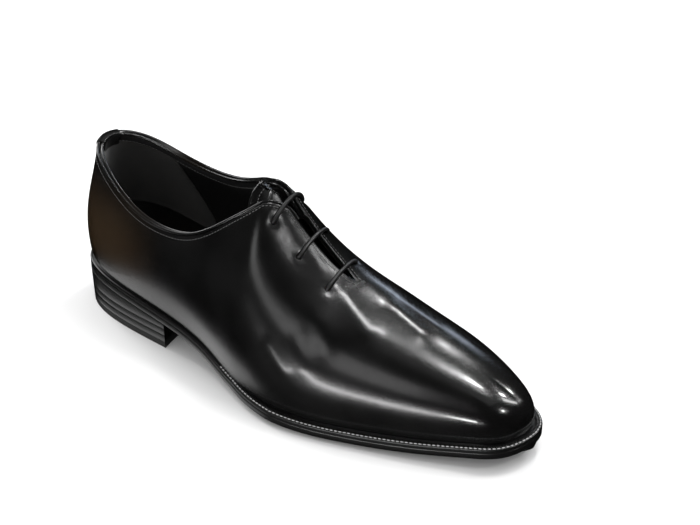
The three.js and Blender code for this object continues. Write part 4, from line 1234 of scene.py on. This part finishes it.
def rounded(out, bottom, top, radius):
    """Edge levels with rounded corners: out, bottom and top are functions of x."""
    corner = [(1, 0), (0.62, 0.08), (0.29, 0.29), (0.08, 0.62), (0, 1)]
    moved_in = lambda inset: (lambda x: out(x) - inset)
    lower = [(moved_in(a * radius), (lambda x, b=b: bottom(x) + b * radius)) for a, b in corner]
    upper = [(moved_in(a * radius), (lambda x, b=b: top(x) - b * radius)) for a, b in corner[::-1]]
    return lower + upper


ACROSS = np.linspace(0, 1, 22)[1:-1]


def above_seat(rise):
    return lambda x: seat(x) + rise


def constant(value):
    return lambda x: value + 0 * x


# %% The sock and the outsole
SOCK_INSET = GRIP_DEPTH + GRIP_THICKNESS + GAP
SOCK_HEIGHTS = [above_seat(4.8), above_seat(5.8)]
sock = plate("sock_calf", rounded(constant(-SOCK_INSET), *SOCK_HEIGHTS, radius=0.3), ACROSS)
finish_piece(sock, LINING, replaces=["sock_liner"])

outsole_top = above_seat(-WELT_THICKNESS - 0.04)
outsole_bottom = above_seat(-WELT_THICKNESS - GAP - OUTSOLE_THICKNESS)
CROWN_DROP = 2.7                   # the tread is fuller in the middle, and its worn patch is flat
CROWN_RUN = (BREAST_X + 12, BREAST_X + 70)
crown_bulge = lambda x: CROWN_DROP * smoothstep(x, *CROWN_RUN)
outsole_levels = rounded(welt_width, outsole_bottom, outsole_top, 0.7)
outsole = plate("leather_outsole", outsole_levels, ACROSS, crown_bulge)
finish_piece(outsole, SOLE, replaces=["outsole"])

# %% [markdown]
# ## Welt and rand
# The welt is a strip sewn round the forefoot between upper and outsole; behind the heel's breast a rand
# takes its place. Its top carries the marks of a hot wheel, one ridge for each stitch, and outside them
# the stitches themselves. The strip is a profile swept along the outline.

# %% Sweep the strips
WELT_INSIDE = 7


def strip(name, from_share, to_share, steps):
    """A strip whose outline is the foot line: shares run from 0, the heel's back, both ways round."""
    k = np.linspace(from_share, to_share, steps)
    profile = [(-WELT_INSIDE, -WELT_THICKNESS), (-0.4, -WELT_THICKNESS), (0, -WELT_THICKNESS + 0.15),
               (0, -0.75), (-0.12, -0.35), (-0.45, -0.06), (-0.9, 0), (-WELT_INSIDE, 0)]
    rows = []
    for out, rise in profile:
        offset = (lambda x, out=out: welt_width(x) + out) if out > -WELT_INSIDE else -WELT_INSIDE
        x, y = rim(k, offset)
        rows.append(np.stack([x, y, seat(x) + rise], -1))
    return loft(name, np.stack(rows, 1))


BREAST = [share_at_x(side, welt_width, BREAST_X) for side in (-1, 1)]
welt = strip("welt_strip", BREAST[0], 2 - BREAST[1], 420)
finish_piece(welt, SOLE, replaces=["welt"])
rand = strip("rand_strip", -BREAST[1], BREAST[0], 200)
finish_piece(rand, SOLE, replaces=["heel_rand"])

# %% [markdown]
# ## The heel
# Lifts of sole leather are pegged and cemented one on another, trimmed together and blacked, so their
# joints show only as fine lines. The last one, which meets the ground, is rubber, held by brass nails.

# %% Stack the lifts
HEEL_TAPER = 0.8
TOP_LIFT = 4
LIFT = 4.4
BREAST_HOLLOW = 3
HEEL_TOP = float(outsole_bottom(np.array(FEATHER[0][0])))          # at the heel's back
JOINT_LINE = 0.03                  # between two lifts


def lift_plate(name, bottom, top, radius=0.22):
    """One lift, whose edge leans in towards the ground."""
    levels = [(lambda x, out=out, at=at: out(x) - HEEL_TAPER * (1 - at(x) / HEEL_TOP), at)
              for out, at in rounded(constant(WELT_HEEL), bottom, top, radius)]
    return plate(name, levels, ACROSS[::2], to_x=BREAST_X, hollow=BREAST_HOLLOW)


first_top = TOP_LIFT + GAP + LIFT + GAP / 2
second_top = TOP_LIFT + GAP + LIFT + GAP + LIFT + GAP / 2
LEATHER_LIFTS = (
    ("leather_lift_1", constant(TOP_LIFT + JOINT_LINE), constant(first_top), "heel_lift_1"),
    ("leather_lift_2", constant(first_top + JOINT_LINE), constant(second_top), "heel_lift_2"),
    ("leather_seat_lift", constant(second_top + JOINT_LINE), lambda x: outsole_bottom(x) - JOINT_LINE,
     "heel_seat_lift"),
)
top_lift = lift_plate("rubber_top_lift", constant(0), constant(TOP_LIFT))
finish_piece(top_lift, RUBBER, replaces=["top_lift"])
for name, bottom, top, node in LEATHER_LIFTS:
    finish_piece(lift_plate(name, bottom, top), SOLE, replaces=[node])

# %% [markdown]
# ## The bound topline
# The topline is bound with a narrow strip of calf over two cords, which show as a double bead. Its profile
# is two round beads side by side, swept along the leather's edge from one facing round the heel to the
# other. The frame that carries the profile comes from the surface: out of the leather, and over its edge.
# Along the slit the facings' edges are only folded, which is the same sweep with a flat profile.

# %% Sweep the beads
FACING_END = q_of_x(151)
BEAD = 0.92                        # a bead's radius
BEAD_DEPTHS = (3.15, 0.48)         # of the inner and the outer bead's centre, in from the leather's outside
BEAD_HEIGHT = 1.36
BEAD_WAIST = (1.82, 1.3)
NEAR_EDGE = 0.995                  # up the wall, where the leather's direction is read


def edge_frames(k, smooth=5):
    """Along the leather's edge: places, the way out of the leather and the way up over its edge."""
    points, normals = surface(k, 1.0), normal_at(k, NEAR_EDGE)
    window = np.ones(smooth) / smooth
    for _ in range(2):
        for values in (points, normals):
            padded = np.pad(values, ((smooth // 2, smooth // 2), (0, 0)), mode="edge")
            values[:] = np.stack([np.convolve(padded[:, i], window, "valid") for i in range(3)], -1)
    along = np.gradient(points, axis=0)
    over = -np.cross(along, normals)
    for values in (normals, over):
        values /= np.linalg.norm(values, axis=1, keepdims=True)
    return points, normals, over


def bead_profile():
    """Depth and height of points round both beads, with the groove between them."""
    inner, outer = BEAD_DEPTHS
    arc = lambda depth, start, end: [(depth + BEAD * math.cos(math.radians(a)),
                                      BEAD_HEIGHT + BEAD * math.sin(math.radians(a)))
                                     for a in range(start, end, 25)]
    return arc(inner, -50, 151) + [BEAD_WAIST] + arc(outer, 30, 231)


def sweep_edge(name, k, profile):
    """A profile of (depth, height) carried along the leather's edge."""
    points, normals, over = edge_frames(k)
    depth, height = np.array(profile).T[..., None]
    return loft(name, points[:, None] - normals[:, None] * depth + over[:, None] * height)


EDGE_PITCH = 1.1


def even_along_edge(start, end):
    """Values of k that lie evenly along the leather's edge."""
    k = np.linspace(start, end, 4001)
    length = length_along(surface(k, 1.0))
    return np.interp(np.linspace(0, length[-1], int(length[-1] / EDGE_PITCH) + 1), length, k)


EDGE_K = even_along_edge(-FACING_END, FACING_END)
binding = sweep_edge("topline_beads", EDGE_K, bead_profile())
finish_piece(binding, CALF, replaces=["topline_binding"])

# %% Fold the facings' edges
FOLD_PROFILE = [(1.1, -1.6), (1.1, -0.3), (1.5, -0.05), (2.4, -0.05), (2.9, -0.3), (2.9, -1.6)]
outer_fold_k = even_along_edge(q_of_x(149), q_of_x(SLIT[1] - 0.6))
for name, fold_k in (("outer", outer_fold_k), ("inner", 2 - outer_fold_k[::-1])):
    fold = sweep_edge(f"facing_fold_{name}_side", fold_k, FOLD_PROFILE)
    finish_piece(fold, CALF)

# %% [markdown]
# ## The back tab
# Where the binding's two ends meet at the heel's back, a short tab of calf is folded over the join. It is
# the same sweep with a plain, slightly larger profile, over a short stretch of the edge.

# %% Fold the tab over
TAB_HALF = 9.5
TAB_SECTION = [(4.45, -5.5), (4.6, 0.5), (4.5, 1.6), (3.9, 2.45), (2.9, 2.75), (1.8, 2.7), (0.5, 2.75),
               (-0.5, 2.35), (-1.0, 1.5), (-1.05, 0.4), (-0.75, -1), (-0.65, -6.5),
               (-0.1, -6.6), (-0.2, 0.6), (0.6, 1.9), (3.3, 1.9), (3.9, 0.6), (3.85, -5.6)]
edge_length = length_along(surface(EDGE_K, 1.0))
edge_length -= np.interp(0, EDGE_K, edge_length)
tab_k = np.interp(np.linspace(-TAB_HALF, TAB_HALF, 27), edge_length, EDGE_K)
tab = sweep_edge("back_tab", tab_k, TAB_SECTION)
finish_piece(tab, CALF, replaces=["heel_tab"])

# %% [markdown]
# ## The tongue
# A thin calf tongue, lined, lies under the facings and is sewn in at its foot. It is the last's surface
# again, further in, over a patch whose top edge is a skewed arc. The calf is turned over a thin cord
# along that edge, which shows as a roll.

# %% Shape the tongue
LACE_DEPTH = GRIP_DEPTH + LACE_DIAMETER / 2
TONGUE_DEPTH = LACE_DEPTH + LACE_DIAMETER / 2 + 0.6
TONGUE_X = (127, 197)
TONGUE_SKEW = 5.5                  # the worn tongue has slid round to the outer side
TONGUE_ROUND = 5
TONGUE_HALF = 19.5
TONGUE_FLAT = 0.45
TONGUE_THICKNESS = 1.2
TONGUE_RISE = (0.72, 0.97)         # down its length, where it comes up to its seam


def tongue_place(v, s, inset=0.0):
    """v runs across from -1 to 1, s from the top edge to the base. The rise is how far it comes up."""
    w = np.clip((np.abs(v) - TONGUE_FLAT) / (1 - TONGUE_FLAT), 0, 1)
    top = TONGUE_X[0] + inset + TONGUE_SKEW * v + TONGUE_ROUND * (1 - np.sqrt(1 - w * w))
    x = top + (TONGUE_X[1] - inset / 2 - top) * s
    rise = smoothstep(s, *TONGUE_RISE) * (TONGUE_DEPTH - GRIP_DEPTH)
    point, normal = on_last(x, v * (TONGUE_HALF - inset))
    return point, normal, rise


def tongue_sheet(name, depth, thickness, inset):
    v = np.sin(np.linspace(-np.pi / 2, np.pi / 2, 41))[None, :]
    s = (np.linspace(0, 1, 61)[:, None] ** 1.3) + 0 * v
    point, normal, rise = tongue_place(v + 0 * s, s, inset)
    near = point + normal * (rise - depth)[..., None]
    far = point + normal * (rise - depth - thickness)[..., None]
    return two_skins(name, near, far)


def round_the_top(across_points, leg_points, leg_reach, leg_end):
    """v and s of a line that comes up one side of the tongue, follows its top and goes down the other."""
    leg = np.linspace(leg_reach, leg_end, leg_points)
    arc = np.sin(np.linspace(-np.pi / 2, np.pi / 2, across_points))
    v = np.concatenate([[-1.0] * leg_points, arc, [1.0] * leg_points])
    return v, np.concatenate([leg, np.zeros(across_points), np.linspace(leg_end, leg_reach, leg_points)])


tongue = tongue_sheet("tongue_calf", TONGUE_DEPTH, TONGUE_THICKNESS, 0)
finish_piece(tongue, CALF, body="tongue", replaces=["tongue"])
tongue_back = tongue_sheet("tongue_back", TONGUE_DEPTH + TONGUE_THICKNESS + GAP, LINING_THICKNESS, 1)
finish_piece(tongue_back, LINING, body="tongue", replaces=["tongue_lining"])

TONGUE_ROLL = 2.6
ROLL_DEPTH = 0.9
roll_point, roll_normal, roll_rise = tongue_place(*round_the_top(30, 5, 0.25, 0.03))
roll_route = roll_point + roll_normal * (roll_rise - TONGUE_DEPTH - ROLL_DEPTH)[:, None]
roll = cord_mesh("tongue_rolled_edge", roll_route, TONGUE_ROLL, pitch=1.2, sides=16)
finish_piece(roll, CALF, body="tongue")

# %% [markdown]
# ## The lace
# One round waxed lace crosses the slit in three level bars and runs hidden between lining and tongue. Its
# route follows from the holes: down a hole, along under the leather, up the next.

# %% Thread the lace
LACE_HEIGHT = LACE_DIAMETER / 2 + 0.05
# of a bar: the share of the way across and the height there
BAR_ARCH = [(0.07, -0.5), (0.18, 0), (0.36, 0.1), (0.54, 0.15), (0.72, 0.2), (0.85, 0.1), (0.93, -0.5)]
IN_HOLE = 0.6
PASS_BY = -4
TOP_ROW, MIDDLE_ROW, BOTTOM_ROW = EYELET_X


def lifted(x, across, height):
    """A place this high over the instep's surface, or this deep under it."""
    point, normal = on_last(x, across)
    return point + normal * height


def lace_bar(x, first_side):
    """Up one hole of a pair, level over the slit and down the other."""
    def at(share, height):
        return lifted(x - FAR_BACK * share, share * (EYELET_OFFSET + FAR_OFFSET) - EYELET_OFFSET, height)

    arch = [at(share, LACE_HEIGHT + rise) for share, rise in BAR_ARCH]
    bar = [at(0, -LACE_DEPTH + 1), at(0, -IN_HOLE), *arch, at(1, -IN_HOLE), at(1, -LACE_DEPTH + 1)]
    return bar if first_side < 0 else bar[::-1]


def under(side, x, offset):
    """A place on the hidden stretches, between the lining and the tongue."""
    return lifted(x, side * offset, -LACE_DEPTH)


LACE_ROUTE = [
    under(-1, MIDDLE_ROW, EYELET_OFFSET + 2),
    *lace_bar(MIDDLE_ROW, -1),
    under(1, MIDDLE_ROW + 1, FAR_OFFSET + 1),
    under(1, BOTTOM_ROW - 5, FAR_OFFSET + 1),
    *lace_bar(BOTTOM_ROW, 1),
    under(-1, BOTTOM_ROW - 3, EYELET_OFFSET + 0.5),
    under(-1, MIDDLE_ROW + 4, EYELET_OFFSET + PASS_BY),
    under(-1, MIDDLE_ROW - 4, EYELET_OFFSET + PASS_BY),
    under(-1, TOP_ROW + 3, EYELET_OFFSET + 0.5),
    *lace_bar(TOP_ROW, -1),
    under(1, TOP_ROW - 0.5, FAR_OFFSET + 3),
]
lace = cord_mesh("laced_cord", LACE_ROUTE, LACE_DIAMETER, pitch=0.55, sides=18)
finish_piece(lace, LACE, replaces=["lace"])

# %% [markdown]
# ## Stitches and wheel marks
# Hundreds of small things that follow a line are what Geometry Nodes are for. One tree does them all: it
# turns a line into a curve, walks along it in equal steps, sets a small rounded bar at each step, turned
# along the line and away from the leather, and makes the result real. Its inputs are the step, the bar's
# length, width and height, and its finish.

# %% The tree that sets things along a line
SIZES = ("Step", "Length", "Width", "Height")


def row_tree():
    tree = bpy.data.node_groups.new("set_along_line", "GeometryNodeTree")
    sockets = tree.interface
    sockets.new_socket("Geometry", in_out="INPUT", socket_type="NodeSocketGeometry")
    for label in SIZES:
        sockets.new_socket(label, in_out="INPUT", socket_type="NodeSocketFloat")
    sockets.new_socket("Finish", in_out="INPUT", socket_type="NodeSocketMaterial")
    sockets.new_socket("Geometry", in_out="OUTPUT", socket_type="NodeSocketGeometry")

    def node(kind, links=None, **settings):
        made = tree.nodes.new(kind)
        for label, value in settings.items():
            setattr(made, label, value)
        for label, source in (links or {}).items():
            if isinstance(source, bpy.types.NodeSocket):
                tree.links.new(source, made.inputs[label])
            else:
                made.inputs[label].default_value = source
        return made

    given = node("NodeGroupInput").outputs
    line = node("GeometryNodeMeshToCurve", {"Mesh": given["Geometry"]})
    steps = node("GeometryNodeResampleCurve", {"Curve": line.outputs[0], "Length": given["Step"]},
                 mode="LENGTH")
    size = node("ShaderNodeCombineXYZ", {"X": given["Length"], "Y": given["Width"], "Z": given["Height"]})
    ball = node("GeometryNodeMeshUVSphere", {"Segments": 8, "Rings": 6, "Radius": 0.5})
    bar = node("GeometryNodeTransform", {"Geometry": ball.outputs[0], "Scale": size.outputs[0]})
    away = node("GeometryNodeInputNamedAttribute", {"Name": "away"}, data_type="FLOAT_VECTOR")
    along = node("GeometryNodeInputTangent")
    turn = node("FunctionNodeAxesToRotation",
                {"Primary Axis": away.outputs[0], "Secondary Axis": along.outputs[0]},
                primary_axis="Z", secondary_axis="X")
    set_out = node("GeometryNodeInstanceOnPoints", {
        "Points": steps.outputs[0], "Instance": bar.outputs[0], "Rotation": turn.outputs[0]})
    real = node("GeometryNodeRealizeInstances", {"Geometry": set_out.outputs[0]})
    smooth = node("GeometryNodeSetShadeSmooth", {"Geometry": real.outputs[0], "Shade Smooth": True})
    finish = node("GeometryNodeSetMaterial", {"Geometry": smooth.outputs[0], "Material": given["Finish"]})
    out = node("NodeGroupOutput")
    tree.links.new(finish.outputs[0], out.inputs[0])
    return tree


ROW_TREE = row_tree()
ROW_SOCKETS = ROW_TREE.interface.items_tree
ROW_INPUTS = {item.name: item.identifier for item in ROW_SOCKETS if item.in_out == "INPUT"}
print("a row's inputs:", list(ROW_INPUTS))


def set_along(name, lines, sizes, material):
    """lines is a list of (points, directions away from the surface); sizes are in mm."""
    mesh = bpy.data.meshes.new(name)
    points = np.concatenate([row(p) for p, _ in lines])
    away = np.concatenate([n for _, n in lines])
    edges, start = [], 0
    for line, _ in lines:
        edges += [(start + i, start + i + 1) for i in range(len(line) - 1)]
        start += len(line)
    mesh.from_pydata([tuple(p) for p in points], edges, [])
    direction = mesh.attributes.new("away", "FLOAT_VECTOR", "POINT")
    direction.data.foreach_set("vector", away.astype(np.float32).ravel())
    piece = make_object(name, mesh)
    modifier = piece.modifiers.new("set along", "NODES")
    modifier.node_group = ROW_TREE
    for label, size in zip(SIZES, sizes):
        modifier[ROW_INPUTS[label]] = float(size * MM)
    modifier[ROW_INPUTS["Finish"]] = material
    result = settled_mesh(piece)
    piece.modifiers.clear()
    piece.data = result
    return piece


# %% The seams of the upper and tongue
UPPER_STITCH = (2.05, 1.5, 0.62, 0.6)          # step, length, width and height, in mm
INSIDE_STITCH = (2.05, 1.5, 0.6, 0.6)
TACK_STITCH = (0.85, 1.1, 0.6, 0.7)
THREAD_LIFT = 0.02
SLIT_END_X = SLIT[1]
TURN_START = 0.5                   # the seam's U-turn starts this far past the slit's end
TURN_REACH = 4.2
slit_q = Q[Q < q_of_x(SLIT_END_X - 0.5)]


def seam_line(k, inset, lift):
    """A line on the leather beside its edge, with the directions out of it."""
    r = 1 - inset / wall_length(k)
    return skin_point(k, r, lift)


def round_the_slit():
    """The seam's U-turn past the slit's end."""
    angle = np.linspace(-np.pi / 2, np.pi / 2, 15)
    x = SLIT_END_X + TURN_START + TURN_REACH * np.cos(angle)
    points, normals = on_last(x, (SEAM_INSET + 0.4) * np.sin(angle))
    height = relief(points, np.full(len(points), NO_EDGE)) + THREAD_LIFT
    return points + normals * height[:, None], normals


OUTSIDE_K = np.concatenate([-slit_q[:0:-1], slit_q])
upper_lines = [seam_line(OUTSIDE_K, SEAM_INSET, THREAD_LIFT), round_the_slit()]
upper_seam = set_along("upper_seam", upper_lines, UPPER_STITCH, THREAD)
finish_piece(upper_seam, THREAD)

LINING_SEAM_INSET = 3.4
inside_r = 1 - LINING_SEAM_INSET / wall_length(EDGE_K)
inside_points, inside_normals = surface(EDGE_K, inside_r), normal_at(EDGE_K, inside_r)
inside_line = inside_points - inside_normals * (LINING_DEPTH + LINING_THICKNESS), -inside_normals
lining_seam = set_along("lining_seam", [inside_line], INSIDE_STITCH, THREAD)
finish_piece(lining_seam, THREAD)

TONGUE_SEAM_INSET = 4.0
seam_v, seam_s = round_the_top(60, 12, 0.35, 0.02)
seam_point, seam_normal, seam_rise = tongue_place(seam_v, seam_s, TONGUE_SEAM_INSET)
tongue_line = seam_point + seam_normal * (seam_rise - TONGUE_DEPTH)[:, None], seam_normal
tongue_seam = set_along("tongue_seam", [tongue_line], INSIDE_STITCH, THREAD)
finish_piece(tongue_seam, THREAD, body="tongue")

# %% The bar across the slit's end
TACK_HALF = 3.4
TACK_X = SLIT_END_X + 3.0
TACK_LIFT = 0.15
tack_y = np.linspace(-TACK_HALF, TACK_HALF, 9)
tack_lines = []
for shift in (-0.55, 0, 0.55):
    points, normals = on_last(np.full(9, TACK_X + shift), tack_y)
    tack_lines.append((points + normals * TACK_LIFT, normals))
bar_tack = set_along("bar_tack_stitches", tack_lines, TACK_STITCH, THREAD)
finish_piece(bar_tack, THREAD, replaces=["slit_bar_tack"])

# %% Wheel marks and stitches of the welt
WHEEL_MARK = (1.25, 0.85, 2.6, 0.75)
WELT_STITCH = (2.5, 2.0, 0.75, 0.6)
WHEELED_FROM = 128
WHEELED = (share_at_x(-1, welt_width, WHEELED_FROM), 2 - share_at_x(1, welt_width, WHEELED_FROM))
welt_k = np.linspace(*WHEELED, 500)


def welt_line(inset, rise):
    """A line on the welt, inset from its edge, with the direction up from it."""
    x, y = rim(welt_k, lambda x: welt_width(x) - inset)
    points = np.stack([x, y, seat(x) + rise], -1)
    return points, np.tile([0.0, 0.0, 1.0], (len(points), 1))


wheel_marks = set_along("wheel_marks", [welt_line(2.75, 0.0)], WHEEL_MARK, SOLE)
finish_piece(wheel_marks, SOLE)
# The welt stitches wear the mid-grey thread, whose lightness is partly a painted glint.
welt_stitches = set_along("welt_stitches", [welt_line(1.05, 0.06)], WELT_STITCH, WELT_THREAD_PAINTED_GLINT)
finish_piece(welt_stitches, WELT_THREAD_PAINTED_GLINT)

# %% [markdown]
# ## Light, floor and the end
# Glossy black shows its lights more than its own colour, so each light is a soft box that stands where its
# reflection falls on one place of the leather: small bright windows for the toe and the pads of the vamp, a
# long low strip for the thin line on the outer shoulder, and wide weak cards for the sheen between them.
# The floor and the world are nearly white. They light the shoe but are hidden from its gloss, because a
# pale room in the reflections would turn black leather grey.

# %% Floor and world
FLOOR_HALF = 3.0
WORLD_STRENGTH = 0.75


def pale_floor():
    mesh = bpy.data.meshes.new("floor")
    corners = [(x * FLOOR_HALF, y * FLOOR_HALF, 0) for x, y in ((-1, -1), (1, -1), (1, 1), (-1, 1))]
    mesh.from_pydata(corners, [], [(0, 1, 2, 3)])
    floor = make_object("floor", mesh)
    finish = Finish("pale_floor")
    drift = finish.noise(300, detail=1)
    paint = finish.mix(drift, grey(0.80), grey(0.82))
    mesh.materials.append(finish.wear(base_color=paint, roughness=0.6 + drift * 0.05))
    floor.visible_glossy = False


pale_floor()
world = bpy.data.worlds.new("studio")
world.use_nodes = True
sky = world.node_tree.nodes["Background"].inputs
sky["Color"].default_value = grey(1.0)
sky["Strength"].default_value = WORLD_STRENGTH
world.cycles_visibility.glossy = False
scene.world = world
scene.view_settings.view_transform = "Standard"
print("world strength:", WORLD_STRENGTH)


# %% Lights
def area_light(name, target, round_angle, climb, away, size, brightness, colour=(1, 1, 1), glossy=True):
    """A soft box away metres from its target on the last, at these angles round it and up.

    The size is in metres, and the power follows from the size and the brightness.
    """
    data = bpy.data.lights.new(name, "AREA")
    data.shape = "RECTANGLE"
    data.size, data.size_y = size
    data.energy = brightness * math.pi * size[0] * size[1]
    data.color = colour
    light = bpy.data.objects.new(name, data)
    scene.collection.objects.link(light)
    a, e = math.radians(round_angle), math.radians(climb)
    goal = row(target)
    start = goal + away * np.array([math.cos(e) * math.cos(a), math.cos(e) * math.sin(a), math.sin(e)])
    light.location = start
    light.rotation_euler = Vector(goal - start).to_track_quat("-Z", "Y").to_euler()
    light.visible_camera = False
    light.visible_glossy = glossy


area_light("room", (150, 0, 0), 40, 80, 2.2, (2.2, 2.2), 0.6, glossy=False)
area_light("soft_top", (150, 0, 50), 90, 75, 1.6, (1.6, 1.6), 0.3)
area_light("overhead", (199, -13, 62), 67, 72.5, 1.03, (0.09, 0.20), 48)
area_light("rear_window", (223, 2, 57), 99, 47, 1.0, (0.08, 0.09), 75)
area_light("rear_glow", (225, 15, 55), 103, 19, 1.0, (0.16, 0.06), 14, (0.75, 0.85, 1.0))
area_light("facing_window", (166, -2, 83), 46, 42, 1.0, (0.10, 0.30), 12)
area_light("outer_strip", (215, -42, 32), -85, 2.5, 0.9, (0.52, 0.09), 28)
area_light("outer_card", (190, -38, 52), -84, 42, 1.0, (0.26, 0.42), 2.6)
area_light("toe_window", (291, -8, 34), 4, 49.5, 0.9, (0.09, 0.10), 36)
area_light("toe_side_window", (284, 4, 39), 68, 51, 0.9, (0.07, 0.08), 40)
area_light("heel_light", (90, 0, 90), 172, 35, 1.0, (0.35, 0.9), 7)
area_light("floor_glow", (75, -35, 25), -160, -44, 0.6, (0.5, 0.12), 1.4)
print("lights:", len(bpy.data.lights))
